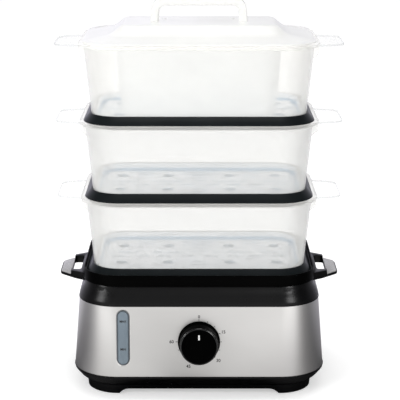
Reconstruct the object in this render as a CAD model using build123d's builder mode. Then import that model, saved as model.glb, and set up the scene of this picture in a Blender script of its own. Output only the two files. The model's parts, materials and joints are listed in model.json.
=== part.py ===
from build123d import *

# Electric food steamer: a water base with a clockwork timer, a drip tray, three stacked
# steam baskets, a rice bowl and a lid. Millimetres, +Z up, front towards -Y.
# The origin lies on the floor under the middle of the whole footprint, knob included.

import os
from math import atan2, cos, degrees, radians, sin

os.makedirs("parts", exist_ok=True)

# ---------------------------------------------------------------- driving dimensions
BODY_Y = 8.0  # the body's own middle lies this far behind the origin: the knob stands proud

# Water base
SKIRT_Z = 6.0  # underside of the bottom cover, between its feet
COVER_TOP_Z = 24.4  # joint between bottom cover and steel jacket
COLLAR_Z = 99.6  # joint between steel jacket and black collar
DECK_Z = 120.0  # top of the collar
JACKET = (133.0, 95.0, 48.0)  # half width, half depth, corner radius at the bottom
JACKET_DRAFT = 6.1  # and how far it draws in up to the collar
SHEET = 0.8  # steel sheet
WALL = 2.0  # black moulded walls
FOOT_Z = 0.8  # plastic underside of the feet, the rubber pads reach the floor
FOOT_IN_X, FOOT_IN_Y = 85.0, 45.0  # inner edges of a foot on the floor
PAD_AT = (100.0, 61.0)
SCREW_AT = ((-70, -38), (70, -38), (-70, 58), (70, 58))

# Tank and heater
TANK_FLOOR_Z = 46.0
TANK = (104.0, 64.75, 20.0)  # half width, half depth, corner radius of the tank's inside
TANK_Y = 11.25  # the tank sits behind the timer
WELL = (114.5, 77.5, 33.0)  # wide mouth that takes the drip tray's dish
WELL_Z = 101.0
FLOOR_T = 2.5
HEATER_Y = 12.0
HEATER_HOLE_R = 42.0
PLATE_R = 46.0
ELEMENT_R = 29.0
CLAMP_SCREWS_R = 47.0
TURBO_R = 52.0
TURBO_H = 38.0

# Front panel
DIAL_Z = 62.2
BEZEL_R = 21.4
KNOB_R = 20.3
KNOB_REACH = 20.0
SHAFT_R = 3.0
RUNNING_FIT = 0.05
GAUGE_X, GAUGE_Z = -79.0, 66.3
GAUGE_W, GAUGE_H = 12.9, 58.6
GLAND_X, GLAND_Z = 60.0, 36.0
GLAND_BORE_R = 3.6

# Side handles of the base
EAR_TIP_X = 150.0
EAR_PAD_X = 137.5
EAR_ROOT_X = 119.5
EAR_LOW_Z, EAR_HIGH_Z, EAR_PAD_Z = 113.0, 121.0, 117.6
EAR_OUTLINE = ((EAR_ROOT_X, 42.0), (EAR_PAD_X, 30.0), (EAR_TIP_X, 18.0))  # half width by reach

# Stack of tiers. Heights in a tier are counted from the plane that it rests on.
PITCH = 80.4
SEATS = (127.6, 208.0, 288.4)  # drip tray ledge, then the rim of each basket below
LID_SEAT = SEATS[2] + PITCH
RIM = (123.5, 85.0, 40.0)
RING = (119.6, 81.6, 37.0)
RING_FLARE = 7.0
RING_TOP = 8.4
RING_SKIRT = (115.0, 77.2, 33.5)
BASKET = (110.2, 72.2, 29.0)  # outside of the wall at its foot
BASKET_FLARE = 7.6
BASKET_WALL = 1.8
RIM_T = 3.7
WING_TIP_X = 150.0
WING_TOP = 76.8  # above the seat
GUSSET_H, GUSSET_FOOT_H = 8.6, 15.0  # straight edge and full height under the rim
EGG_X = (-83.0, -33.0, 33.0, 83.0)
EGG_Y = (-31.5, 31.5)
EGG = 34.0
TRAY_RIM = (122.4, 85.2, 39.5)

# Lid and rice bowl
LID_EDGE = RING
DOME = (116.5, 78.5, 46.0)
SHOULDER_IN, PLATEAU_IN = 25.5, 37.0  # how far each level of the dome draws in
SHOULDER_H, PLATEAU_H = 6.4, 16.4
LID_T = 2.0
HANDLE_HALF_X, HANDLE_H, HANDLE_HALF_Y = 50.7, 25.0, 11.0
BOWL = (80.0, 42.0, 16.0)
BOWL_FLARE = 5.5
BOWL_FLANGE = (93.0, 53.0, 25.0)
BOWL_H = 75.0

# ---------------------------------------------------------------- placing and shared forms
FRONT_SLOPE = atan2(JACKET_DRAFT, COLLAR_Z - COVER_TOP_Z)


def level(height, y=0.0):
    """Horizontal sketch plane at a height, centred on the body."""
    return Plane(origin=(0, BODY_Y + y, height))


def jacket_at(height, by=0.0):
    """The steel jacket's outside at a height, drawn in by a distance."""
    share = (height - COVER_TOP_Z) / (COLLAR_Z - COVER_TOP_Z)
    return inset(JACKET, JACKET_DRAFT * share + by)


def panel(x, height, out=0.0, side=-1):
    """Sketch plane on the sloping front (side -1) or rear (+1) panel, its z pointing outwards."""
    normal = Vector(0, side * cos(FRONT_SLOPE), sin(FRONT_SLOPE))
    face = Vector(x, BODY_Y + side * jacket_at(height)[1], height)
    return Plane(origin=face + normal * out, x_dir=(-side, 0, 0), z_dir=normal)


def inset(size, by):
    """A rounded rectangle's size, drawn in by a wall all round."""
    return [value - by for value in size]


def rounded_block(*sections, y=0.0, mode=Mode.ADD):
    """Block with straight sides through rounded rectangles, each (height, (half width, half depth,
    radius)). Next sections differ by one inset all round, so the corners are true cones."""
    for (low, below), (high, above) in zip(sections, sections[1:]):
        draw_in = below[0] - above[0]
        if abs(draw_in) < 1e-6:
            rounded_prism(low, high, below, y, mode)
            continue
        # Drawn from its larger end, and turned over if that is the upper one
        with BuildSketch(level(low, y)) as outline:
            larger = below if draw_in > 0 else above
            RectangleRounded(2 * larger[0], 2 * larger[1], larger[2])
        taper = degrees(atan2(abs(draw_in), high - low))
        block = extrude(outline.sketch, amount=high - low, taper=taper, mode=Mode.PRIVATE)
        if draw_in < 0:
            block = mirror(block, about=level((low + high) / 2, y), mode=Mode.PRIVATE)
        add(block, mode=mode)


def rounded_prism(low, high, size, y=0.0, mode=Mode.ADD):
    """Upright rounded rectangle between two heights."""
    with BuildSketch(level(low, y)) as outline:
        RectangleRounded(2 * size[0], 2 * size[1], size[2])
    extrude(outline.sketch, amount=high - low, mode=mode)


def disc(low, high, radius, places=((0, 0),), y=0.0, mode=Mode.ADD):
    """Upright cylinders between two heights."""
    with BuildSketch(level(low, y)) as outline:
        with Locations(*places):
            Circle(radius)
    extrude(outline.sketch, amount=high - low, mode=mode)


def keep(piece, label):
    """Name a finished piece and write it to its own file."""
    piece.part.label = label
    export_step(piece.part, f"parts/{label}.step")


# ---------------------------------------------------------------- bottom cover, feet, screws
COVER = (133.6, 95.6, 48.6)
PLINTH_Z, PLINTH_IN = 11.0, 13.5  # the cover slopes in to an upright plinth, which ends in the feet
FEET_IN = 14.3
COVER_T = 2.2
COVER_RIM = 2.6
FOOT_CURVE = 12.8
HEAD_R, HEAD_H = 3.6, 2.0  # countersunk screws
HEAD_GAP = 0.3

with BuildPart() as bottom_cover:
    rounded_block(
        (FOOT_Z, inset(COVER, FEET_IN)), (PLINTH_Z, inset(COVER, PLINTH_IN)), (COVER_TOP_Z, COVER)
    )
    rounded_block(
        (SKIRT_Z + COVER_T, inset(COVER, PLINTH_IN + COVER_T)),
        (PLINTH_Z + 1, inset(COVER, PLINTH_IN + COVER_T)),
        (COVER_TOP_Z, inset(COVER, COVER_RIM)),
        mode=Mode.SUBTRACT,
    )
    # Two channels part the plinth into four feet. Their flanks curve up into the cover's underside
    channels = (
        (Plane(origin=(0, BODY_Y, 0), x_dir=(1, 0, 0), z_dir=(0, -1, 0)), FOOT_IN_X),
        (Plane(origin=(0, BODY_Y, 0), x_dir=(0, 1, 0), z_dir=(1, 0, 0)), FOOT_IN_Y),
    )
    for plane, edge in channels:
        with BuildSketch(plane) as channel:
            with BuildLine():
                inner = edge - SKIRT_Z
                Polyline((-edge, 0), (edge, 0), (inner, SKIRT_Z), (-inner, SKIRT_Z), close=True)
            make_face()
            fillet(channel.vertices().group_by(Axis.Y)[-1], radius=FOOT_CURVE)
        extrude(channel.sketch, amount=COVER[0], both=True, mode=Mode.SUBTRACT)
    # Vents under the timer and the heater, and the countersunk holes for the cover screws
    with BuildSketch(level(SKIRT_Z)) as vents:
        with Locations((-30, 0), (30, 0)):
            with GridLocations(0, 12, 1, 5):
                Rectangle(44, 4)
    extrude(vents.sketch, amount=COVER_T, mode=Mode.SUBTRACT)
    with BuildSketch(level(SKIRT_Z)) as countersinks:
        with Locations(*SCREW_AT):
            Circle(HEAD_R + HEAD_GAP)
    extrude(countersinks.sketch, amount=COVER_T, taper=45, mode=Mode.SUBTRACT)
keep(bottom_cover, "bottom_cover")

PAD_R = 9.0
with BuildPart() as foot_pads:
    corners = [(x * PAD_AT[0], y * PAD_AT[1]) for x in (-1, 1) for y in (-1, 1)]
    disc(0, FOOT_Z, PAD_R, corners)
keep(foot_pads, "foot_pads")

BOSS_R = 4.5
SCREW_R = HEAD_R - HEAD_H
with BuildPart() as cover_screws:
    with BuildSketch(level(SKIRT_Z)) as screw_heads:
        with Locations(*SCREW_AT):
            Circle(HEAD_R)
    extrude(screw_heads.sketch, amount=HEAD_H, taper=45)
    disc(SKIRT_Z + HEAD_H, SKIRT_Z + 16, SCREW_R, SCREW_AT)
keep(cover_screws, "cover_screws")

# ---------------------------------------------------------------- steel jacket
GAUGE_HOLE = (GAUGE_W + 0.2, GAUGE_H + 0.2)
SHAFT_HOLE_R = 5.0
TIMER_SCREW_X = 14.0
GLAND_R = 7.8


def panel_holes(gland_r, gauge_hole, through):
    """Cut the gauge window, timer and gland holes through the front and rear panels."""
    with BuildSketch(panel(GAUGE_X, GAUGE_Z, 1)) as gauge_cut:
        SlotOverall(gauge_hole[1], gauge_hole[0], rotation=90)
    with BuildSketch(panel(0, DIAL_Z, 1)) as dial_cut:
        Circle(SHAFT_HOLE_R)
        with Locations((-TIMER_SCREW_X, 0), (TIMER_SCREW_X, 0)):
            Circle(SCREW_R)
    with BuildSketch(panel(GLAND_X, GLAND_Z, 1, side=1)) as gland_cut:
        Circle(gland_r)
    for cut in (gauge_cut, dial_cut, gland_cut):
        extrude(cut.sketch, amount=-through, mode=Mode.SUBTRACT)


with BuildPart() as steel_wrap:
    rounded_block((COVER_TOP_Z, JACKET), (COLLAR_Z, jacket_at(COLLAR_Z)))
    inside = ((COVER_TOP_Z, inset(JACKET, SHEET)), (COLLAR_Z, jacket_at(COLLAR_Z, SHEET)))
    rounded_block(*inside, mode=Mode.SUBTRACT)
    panel_holes(GLAND_R + 0.1, GAUGE_HOLE, 5)
keep(steel_wrap, "steel_wrap")

# ---------------------------------------------------------------- inner shell
LINER = SHEET + 0.2  # the shell's outside, in from the jacket's outside

with BuildPart() as liner_inside:
    rounded_block(
        (COVER_TOP_Z, jacket_at(COVER_TOP_Z, LINER + WALL)), (COLLAR_Z, jacket_at(COLLAR_Z, LINER + WALL))
    )

with BuildPart() as whole_liner:
    rounded_block((COVER_TOP_Z, inset(JACKET, LINER)), (COLLAR_Z, jacket_at(COLLAR_Z, LINER)))
    add(liner_inside.part, mode=Mode.SUBTRACT)
    panel_holes(GLAND_R + 0.1, GAUGE_HOLE, 5)


def half_liner(side):
    """Keep the front (-1) or rear (+1) half of the shell; they meet at the middle of the sides."""
    half_depth, height = JACKET[1], COLLAR_Z - COVER_TOP_Z
    with Locations((0, BODY_Y + side * half_depth / 2, (COLLAR_Z + COVER_TOP_Z) / 2)):
        Box(2 * JACKET[0], half_depth, height, mode=Mode.INTERSECT)


with BuildPart() as front_shell:
    add(whole_liner.part)
    half_liner(-1)
keep(front_shell, "front_shell")

with BuildPart() as inner_shell:
    add(whole_liner.part)
    half_liner(1)
keep(inner_shell, "inner_shell")

# ---------------------------------------------------------------- top housing: collar, ears, well
COLLAR = (127.5, 89.5, 42.5)
# Heights of the collar's outside and inside, and how far each is drawn in there
COLLAR_TURN = ((COLLAR_Z, 0.0), (104.5, 1.0), (109.5, 3.2), (114.5, 6.0), (DECK_Z, 7.6))
COLLAR_INSIDE = ((COLLAR_Z, 3.6), (117.6, 9.0))
SHELF_Z = 98.2  # underside of the shelf round the tank
MOUTH = inset(WELL, -WALL)
TRAY_GAP = 0.8  # between the ears and the drip tray that stands on the collar


def ear_half_width(reach):
    """Half the width of an ear at a distance from the middle. It narrows faster past its pad's edge."""
    (x0, y0), (x1, y1) = EAR_OUTLINE[:2] if reach < EAR_PAD_X else EAR_OUTLINE[1:]
    return y0 + (y1 - y0) * (reach - x0) / (x1 - x0)


def ear_plan(tip_x, root_x):
    """Plan of the right-hand ear between two distances from the middle."""
    stations = [root_x] + [x for x, y in EAR_OUTLINE if root_x < x < tip_x] + [tip_x]
    side = [(x, ear_half_width(x)) for x in stations]
    with BuildSketch(level(EAR_LOW_Z)) as plan:
        with BuildLine():
            Polyline(*side, *[(x, -y) for x, y in reversed(side)], close=True)
        make_face()
    return plan.sketch


FINGER_GAP_X = (126.9, EAR_PAD_X)
FINGER_GAP_Y = 25.0

with BuildPart() as ear:
    extrude(ear_plan(EAR_TIP_X, EAR_ROOT_X), amount=EAR_HIGH_Z - EAR_LOW_Z)
    fillet(ear.edges().filter_by(Axis.Z).group_by(Axis.X)[-1], radius=7)
    # The outer bar is lower, to take the steel inlay
    with BuildSketch(level(EAR_PAD_Z - 1.2)) as bar:
        with Locations((EAR_PAD_X + 20, 0)):
            Rectangle(40, 2 * EAR_OUTLINE[0][1])
    extrude(bar.sketch, amount=10, mode=Mode.SUBTRACT)
    with BuildSketch(level(EAR_LOW_Z)) as gap:
        with Locations((sum(FINGER_GAP_X) / 2, 0)):
            Rectangle(FINGER_GAP_X[1] - FINGER_GAP_X[0], 2 * FINGER_GAP_Y)
        fillet(gap.vertices(), radius=3)
    extrude(gap.sketch, amount=10, mode=Mode.SUBTRACT)
    fillet(ear.edges().group_by(Axis.Z)[0].filter_by(Axis.Z, reverse=True).group_by(Axis.X)[-1], radius=1.5)

with BuildPart() as top_housing:
    rounded_block(*[(height, inset(COLLAR, by)) for height, by in COLLAR_TURN])
    add(ear.part)
    add(mirror(ear.part, about=Plane.YZ, mode=Mode.PRIVATE))
    # Open underneath, between the outer wall and the wall of the well
    rounded_block(*[(height, inset(COLLAR, by)) for height, by in COLLAR_INSIDE], mode=Mode.SUBTRACT)
    rounded_prism(SHELF_Z, DECK_Z, MOUTH)
    rounded_prism(DECK_Z, EAR_HIGH_Z, inset(TRAY_RIM, -TRAY_GAP), mode=Mode.SUBTRACT)
    # The well that takes the drip tray's dish, then the way down into the tank
    rounded_prism(WELL_Z, DECK_Z, WELL, mode=Mode.SUBTRACT)
    rounded_prism(SHELF_Z, WELL_Z, TANK, y=TANK_Y, mode=Mode.SUBTRACT)
keep(top_housing, "top_housing")

INLAY_EDGE = 1.2
for side, label in ((1, "handle_inlay_right"), (-1, "handle_inlay_left")):
    with BuildPart() as handle_inlay:
        extrude(ear_plan(EAR_TIP_X - INLAY_EDGE, EAR_PAD_X + 0.2), amount=EAR_PAD_Z - EAR_LOW_Z)
        fillet(handle_inlay.edges().filter_by(Axis.Z).group_by(Axis.X)[-1], radius=5)
        split(bisect_by=level(EAR_PAD_Z - 1.2), keep=Keep.TOP)
        if side < 0:
            mirror(about=Plane.YZ, mode=Mode.REPLACE)
    keep(handle_inlay, label)

# ---------------------------------------------------------------- water tank
ARM_X = (-87.6, -70.4)  # the tank reaches out behind the water gauge
ARM_REACH = (-98.0, -50.0)  # the arm's length, drawn past the shell that closes its front
ARM_FRONT = (LINER + WALL) * cos(FRONT_SLOPE)  # the arm ends this far behind the panel's face


def arm_plan(height, wall):
    """Plan of the arm that joins the tank to the level gauge, grown by a wall at its sides."""
    with BuildSketch(level(height)) as plan:
        with Locations((sum(ARM_X) / 2, sum(ARM_REACH) / 2)):
            Rectangle(ARM_X[1] - ARM_X[0] + 2 * wall, ARM_REACH[1] - ARM_REACH[0])
    return plan.sketch


with BuildPart() as water_tank:
    under = TANK_FLOOR_Z - FLOOR_T
    extrude(arm_plan(under, WALL), amount=SHELF_Z - under)
    add(liner_inside.part, mode=Mode.INTERSECT)
    rounded_prism(under, SHELF_Z, inset(TANK, -FLOOR_T), y=TANK_Y)
    rounded_prism(TANK_FLOOR_Z, SHELF_Z, TANK, y=TANK_Y, mode=Mode.SUBTRACT)
    extrude(arm_plan(TANK_FLOOR_Z, 0), amount=SHELF_Z - WALL - TANK_FLOOR_Z, mode=Mode.SUBTRACT)
    # Bosses for the cover's screws, then the heater's hole and the pilots for its clamp
    disc(SKIRT_Z + COVER_T, under, BOSS_R, SCREW_AT)
    disc(SKIRT_Z + COVER_T, SKIRT_Z + COVER_T + 15, SCREW_R, SCREW_AT, mode=Mode.SUBTRACT)
    disc(under, TANK_FLOOR_Z, HEATER_HOLE_R, y=HEATER_Y, mode=Mode.SUBTRACT)
    with BuildSketch(level(under, HEATER_Y)) as clamp_pilots:
        with PolarLocations(CLAMP_SCREWS_R, 3, start_angle=30):
            Circle(SCREW_R)
    extrude(clamp_pilots.sketch, amount=FLOOR_T - 0.5, mode=Mode.SUBTRACT)
keep(water_tank, "water_tank")

# ---------------------------------------------------------------- water gauge
GASKET_W = 1.3
with BuildPart() as gauge_gasket:
    with BuildSketch(panel(GAUGE_X, GAUGE_Z, -ARM_FRONT)) as seal_ring:
        SlotOverall(GAUGE_H, GAUGE_W, rotation=90)
        SlotOverall(GAUGE_H - 2 * GASKET_W, GAUGE_W - 2 * GASKET_W, rotation=90, mode=Mode.SUBTRACT)
    extrude(seal_ring.sketch, amount=ARM_FRONT + 0.5)
keep(gauge_gasket, "gauge_gasket")

with BuildPart() as gauge_window:
    with BuildSketch(panel(GAUGE_X, GAUGE_Z, -ARM_FRONT)) as pane:
        SlotOverall(GAUGE_H - 2 * GASKET_W, GAUGE_W - 2 * GASKET_W, rotation=90)
    extrude(pane.sketch, amount=ARM_FRONT + 1.2)
    chamfer(gauge_window.faces().sort_by(Axis.Y)[0].edges(), length=0.9)
keep(gauge_window, "gauge_window")

# ---------------------------------------------------------------- clockwork timer, knob
TIMER_BACK = LINER + WALL  # the case stands against the shell's inside
TIMER_SIZE = (52.0, 44.0, 24.0)
SHAFT_DEPTH = 16.0
SHAFT_END = 13.0  # how far the shaft reaches out of the panel
BELL_R, BELL_H = 13.0, 4.4


def dial_section(out=0.0):
    """Sketch plane through the timer's axis: x to the right, y out of the panel."""
    face = panel(0, DIAL_Z, out)
    return Plane(origin=face.origin, x_dir=(1, 0, 0), z_dir=-face.y_dir)


def turn_on_dial(profile, mode=Mode.ADD):
    """Revolve a half profile about the timer's axis."""
    face = panel(0, DIAL_Z)
    revolve(profile.sketch, axis=Axis(face.origin, face.z_dir), mode=mode)


with BuildPart() as timer_case:
    with BuildSketch(panel(0, DIAL_Z, -TIMER_BACK)) as case_outline:
        RectangleRounded(TIMER_SIZE[0], TIMER_SIZE[1], 4)
    extrude(case_outline.sketch, amount=-TIMER_SIZE[2])
    with BuildSketch(panel(0, DIAL_Z, -TIMER_BACK)) as shaft_hole:
        Circle(SHAFT_R + RUNNING_FIT)
    extrude(shaft_hole.sketch, amount=-SHAFT_DEPTH, mode=Mode.SUBTRACT)
    with BuildSketch(panel(0, DIAL_Z, -TIMER_BACK)) as screw_holes:
        with Locations((-TIMER_SCREW_X, 0), (TIMER_SCREW_X, 0)):
            Circle(SCREW_R)
    extrude(screw_holes.sketch, amount=-6, mode=Mode.SUBTRACT)
keep(timer_case, "timer_case")

with BuildPart() as timer_bell:
    # A shallow sheet dome on a post, its mouth towards the case
    with BuildSketch(dial_section(-TIMER_BACK - TIMER_SIZE[2])) as bell_profile:
        with BuildLine():
            Polyline(
                (0, 0),
                (1.8, 0),
                (1.8, 0.4 - BELL_H),
                (BELL_R * 0.6, 0.8 - BELL_H),
                (BELL_R - 0.8, -0.8),
                (BELL_R, -0.8),
                (BELL_R * 0.64, -BELL_H),
                (1.8, -0.4 - BELL_H),
                (0, -0.4 - BELL_H),
                close=True,
            )
        make_face()
    turn_on_dial(bell_profile)
keep(timer_bell, "timer_bell")

with BuildPart() as timer_screws:
    with BuildSketch(panel(0, DIAL_Z)) as heads:
        with Locations((-TIMER_SCREW_X, 0), (TIMER_SCREW_X, 0)):
            Circle(2.8)
    extrude(heads.sketch, amount=1.5)
    with BuildSketch(panel(0, DIAL_Z)) as shanks:
        with Locations((-TIMER_SCREW_X, 0), (TIMER_SCREW_X, 0)):
            Circle(SCREW_R)
    extrude(shanks.sketch, amount=-TIMER_BACK - 5)
keep(timer_screws, "timer_screws")

with BuildPart() as timer_shaft:
    with BuildSketch(panel(0, DIAL_Z, SHAFT_END)) as round_shaft:
        Circle(SHAFT_R)
    extrude(round_shaft.sketch, amount=-SHAFT_END - TIMER_BACK - SHAFT_DEPTH + 1)
    # The flat that keys the knob
    with BuildSketch(panel(0, DIAL_Z, SHAFT_END)) as flat:
        with Locations((0, SHAFT_R)):
            Rectangle(8, 2 * 0.8)
    extrude(flat.sketch, amount=-8, mode=Mode.SUBTRACT)
keep(timer_shaft, "timer_shaft")

BEZEL_LIP = 2.6
BEZEL_BASE = 0.9
with BuildPart() as knob_bezel:
    with BuildSketch(dial_section()) as bezel_profile:
        with BuildLine():
            Polyline(
                (17.4, 0),
                (BEZEL_R, 0),
                (BEZEL_R, BEZEL_LIP - 0.5),
                (BEZEL_R - 0.4, BEZEL_LIP),
                (KNOB_R + 0.5, BEZEL_BASE),
                (17.4, BEZEL_BASE),
                close=True,
            )
        make_face()
    turn_on_dial(bezel_profile)
keep(knob_bezel, "knob_bezel")

KNOB_FOOT = 1.4  # gap between the knob and the panel
KNOB_WALL = 1.8
HUB_R = 5.5
FACE_R = 19.0
FACE_RECESS = (15.6, 0.8)  # radius and depth of the sunk face
POINTER = (1.6, 5.4, 9.5)  # width, length, distance of its middle from the axis
POINTER_T = 0.9

with BuildPart() as knob:
    top = KNOB_REACH
    with BuildSketch(dial_section()) as knob_profile:
        with BuildLine():
            Polyline(
                (KNOB_R - KNOB_WALL, KNOB_FOOT),
                (KNOB_R, KNOB_FOOT),
                (KNOB_R, 4.6),
                (FACE_R + 0.6, 5.4),
                (FACE_R, top - 1.4),
                (FACE_R - 1.4, top),
                (FACE_RECESS[0], top - FACE_RECESS[1]),
                (0, top - FACE_RECESS[1]),
                (0, SHAFT_END + 0.4),
                (SHAFT_R + 0.02, SHAFT_END + 0.4),
                (SHAFT_R + 0.02, 3.4),
                (HUB_R, 3.4),
                (HUB_R, top - 3.4),
                (FACE_R - KNOB_WALL, top - 3.4),
                close=True,
            )
        make_face()
    turn_on_dial(knob_profile)
    with BuildSketch(panel(0, DIAL_Z, top - FACE_RECESS[1])) as pointer_seat:
        with Locations((0, POINTER[2])):
            Rectangle(POINTER[0], POINTER[1])
    extrude(pointer_seat.sketch, amount=-POINTER_T + 0.2, mode=Mode.SUBTRACT)
keep(knob, "knob")

with BuildPart() as knob_pointer:
    extrude(pointer_seat.sketch, amount=0.2)
    extrude(pointer_seat.sketch, amount=-POINTER_T + 0.2)
keep(knob_pointer, "knob_pointer")

# ---------------------------------------------------------------- heater
PLATE_Z = TANK_FLOOR_Z + 1.4  # underside of the plate's flange, on its seal
PLATE_T = 1.0
THIMBLE_R = 39.0
CLAMP_LOW = TANK_FLOOR_Z - FLOOR_T - 1.5


def upright_section(y=0.0):
    """Sketch plane through an upright axis: x to the right, y up from the floor."""
    return Plane(origin=(0, BODY_Y + y, 0), x_dir=(1, 0, 0), z_dir=(0, -1, 0))


def turned_upright(points, y=0.0):
    """Revolve a closed half profile of (radius, height) points about an upright axis."""
    with BuildSketch(upright_section(y)) as profile:
        with BuildLine():
            Polyline(*points, close=True)
        make_face()
    revolve(profile.sketch, axis=Axis((0, BODY_Y + y, 0), (0, 0, 1)))


with BuildPart() as heater_seal:
    disc(TANK_FLOOR_Z, PLATE_Z, PLATE_R + 0.6, y=HEATER_Y)
    disc(TANK_FLOOR_Z, PLATE_Z, THIMBLE_R + 1.2, y=HEATER_Y, mode=Mode.SUBTRACT)
keep(heater_seal, "heater_seal")

with BuildPart() as heater_plate:
    # Dished disc with a thimble that hangs through the tank's floor
    turned_upright(
        (
            (0, PLATE_Z),
            (THIMBLE_R - 1, PLATE_Z),
            (THIMBLE_R - 1, CLAMP_LOW - 1),
            (THIMBLE_R, CLAMP_LOW - 1),
            (THIMBLE_R, PLATE_Z),
            (PLATE_R, PLATE_Z),
            (PLATE_R, PLATE_Z + PLATE_T),
            (THIMBLE_R - 4, PLATE_Z + PLATE_T),
            (THIMBLE_R - 9, PLATE_Z + PLATE_T + 2),
            (0, PLATE_Z + PLATE_T + 2),
        ),
        y=HEATER_Y,
    )
keep(heater_plate, "heater_plate")

ELEMENT_HALF = 3.5  # half the square section of the clad heating rod
ELEMENT_Z = PLATE_Z - ELEMENT_HALF
ELEMENT_ARC = 300
with BuildPart() as heater_element:
    start = Plane(origin=(ELEMENT_R, BODY_Y + HEATER_Y, ELEMENT_Z), x_dir=(1, 0, 0), z_dir=(0, 1, 0))
    with BuildSketch(start) as rod:
        Rectangle(2 * ELEMENT_HALF, 2 * ELEMENT_HALF)
    element_axis = Axis((0, BODY_Y + HEATER_Y, 0), (0, 0, 1))
    revolve(rod.sketch, axis=element_axis, revolution_arc=ELEMENT_ARC)
    # Cold ends: the pins that take the leads
    ends = [(ELEMENT_R * cos(radians(turn)), ELEMENT_R * sin(radians(turn))) for turn in (4, ELEMENT_ARC - 4)]
    disc(ELEMENT_Z - 12, ELEMENT_Z, 1.4, ends, y=HEATER_Y)
keep(heater_element, "heater_element")

with BuildPart() as heater_clamp:
    disc(CLAMP_LOW, CLAMP_LOW + 1.5, 51, y=HEATER_Y)
    disc(CLAMP_LOW, CLAMP_LOW + 1.5, THIMBLE_R, y=HEATER_Y, mode=Mode.SUBTRACT)
    with BuildSketch(level(CLAMP_LOW, HEATER_Y)) as clamp_holes:
        with PolarLocations(CLAMP_SCREWS_R, 3, start_angle=30):
            Circle(SCREW_R)
    extrude(clamp_holes.sketch, amount=1.5, mode=Mode.SUBTRACT)
keep(heater_clamp, "heater_clamp")

with BuildPart() as heater_screws:
    with BuildSketch(level(CLAMP_LOW, HEATER_Y)) as clamp_heads:
        with PolarLocations(CLAMP_SCREWS_R, 3, start_angle=30):
            Circle(2.8)
    extrude(clamp_heads.sketch, amount=-1.8)
    extrude(clamp_holes.sketch, amount=1.5 + FLOOR_T - 0.6)
keep(heater_screws, "heater_screws")

THERMOSTAT_H = 7.0
with BuildPart() as thermostat:
    disc(PLATE_Z - THERMOSTAT_H, PLATE_Z, 8, y=HEATER_Y)
    with BuildSketch(level(PLATE_Z - THERMOSTAT_H - 6, HEATER_Y)) as blades:
        with Locations((-4.5, 0), (4.5, 0)):
            Rectangle(0.8, 6.3)
    extrude(blades.sketch, amount=6)
keep(thermostat, "thermostat")

FUSE_R = 1.9
with BuildPart() as thermal_fuse:
    fuse_start = Plane(
        origin=(-8, BODY_Y + HEATER_Y - 14, PLATE_Z - FUSE_R), x_dir=(0, 1, 0), z_dir=(1, 0, 0)
    )
    with BuildSketch(fuse_start) as fuse_body:
        Circle(FUSE_R)
    extrude(fuse_body.sketch, amount=12)
    with BuildSketch(fuse_start) as fuse_leads:
        Circle(0.6)
    extrude(fuse_leads.sketch, amount=-5)
    with BuildSketch(fuse_start.offset(12)) as fuse_lead:
        Circle(0.6)
    extrude(fuse_lead.sketch, amount=5)
keep(thermal_fuse, "thermal_fuse")

# ---------------------------------------------------------------- wiring
BLOCK = (30.0, 16.0, 13.0)
BLOCK_AT = (28.0, 62.0)
INSIDE_Z = SKIRT_Z + COVER_T
with BuildPart() as terminal_block:
    with BuildSketch(level(INSIDE_Z)) as block_plan:
        with Locations(BLOCK_AT):
            Rectangle(BLOCK[0], BLOCK[1])
    extrude(block_plan.sketch, amount=BLOCK[2])
    chamfer(terminal_block.edges().group_by(Axis.Z)[-1], length=1.5)
    with BuildSketch(level(INSIDE_Z + BLOCK[2])) as block_screws:
        with Locations(BLOCK_AT):
            with GridLocations(10, 0, 3, 1):
                Circle(2)
    extrude(block_screws.sketch, amount=-3, mode=Mode.SUBTRACT)
keep(terminal_block, "terminal_block")

with BuildPart() as cord_gland:
    # A bush through the rear panel with a collar outside and a nut inside, its bore left empty
    back = -LINER - WALL
    for low, high, radius in ((0, 2.5, 10.0), (back, 0, GLAND_R), (back - 3, back, 9.6)):
        with BuildSketch(panel(GLAND_X, GLAND_Z, low, side=1)) as bush:
            Circle(radius)
            Circle(GLAND_BORE_R, mode=Mode.SUBTRACT)
        extrude(bush.sketch, amount=high - low)
keep(cord_gland, "cord_gland")

LEAD_R = 1.3


def lead(points):
    """One insulated lead along straight runs joined by tangent arcs."""
    with BuildLine() as route:
        FilletPolyline(*points, radius=5)
    first = route.wires()[0] @ 0
    with BuildSketch(Plane(origin=first, z_dir=route.wires()[0] % 0)) as section:
        RegularPolygon(LEAD_R, 6)
    sweep(section.sketch, path=route.wires()[0])


def at_body(x, y, z):
    """A point given from the middle of the body."""
    return (x, BODY_Y + y, z)


lead_z = INSIDE_Z + 5
block_front = BLOCK_AT[1] - BLOCK[1] / 2
pin = ends[0]
with BuildPart() as wiring:
    timer_middle = panel(18, DIAL_Z, -TIMER_BACK - TIMER_SIZE[2] / 2)
    timer_foot = timer_middle.origin - timer_middle.y_dir * TIMER_SIZE[1] / 2
    lead(
        (
            at_body(38, block_front, lead_z),
            at_body(38, 10, lead_z),
            at_body(22, -40, lead_z),
            tuple(timer_foot - timer_middle.y_dir * 12),
            tuple(timer_foot),
        )
    )
    lead(
        (
            at_body(28, block_front, lead_z),
            at_body(28, 36, lead_z),
            at_body(pin[0], pin[1] + HEATER_Y, lead_z),
            at_body(pin[0], pin[1] + HEATER_Y, ELEMENT_Z - 12),
        )
    )
    lead(
        (
            at_body(18, block_front, lead_z),
            at_body(18, 34, lead_z),
            at_body(4.5, HEATER_Y, lead_z),
            at_body(4.5, HEATER_Y, PLATE_Z - THERMOSTAT_H - 6),
        )
    )
keep(wiring, "wiring")

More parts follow.
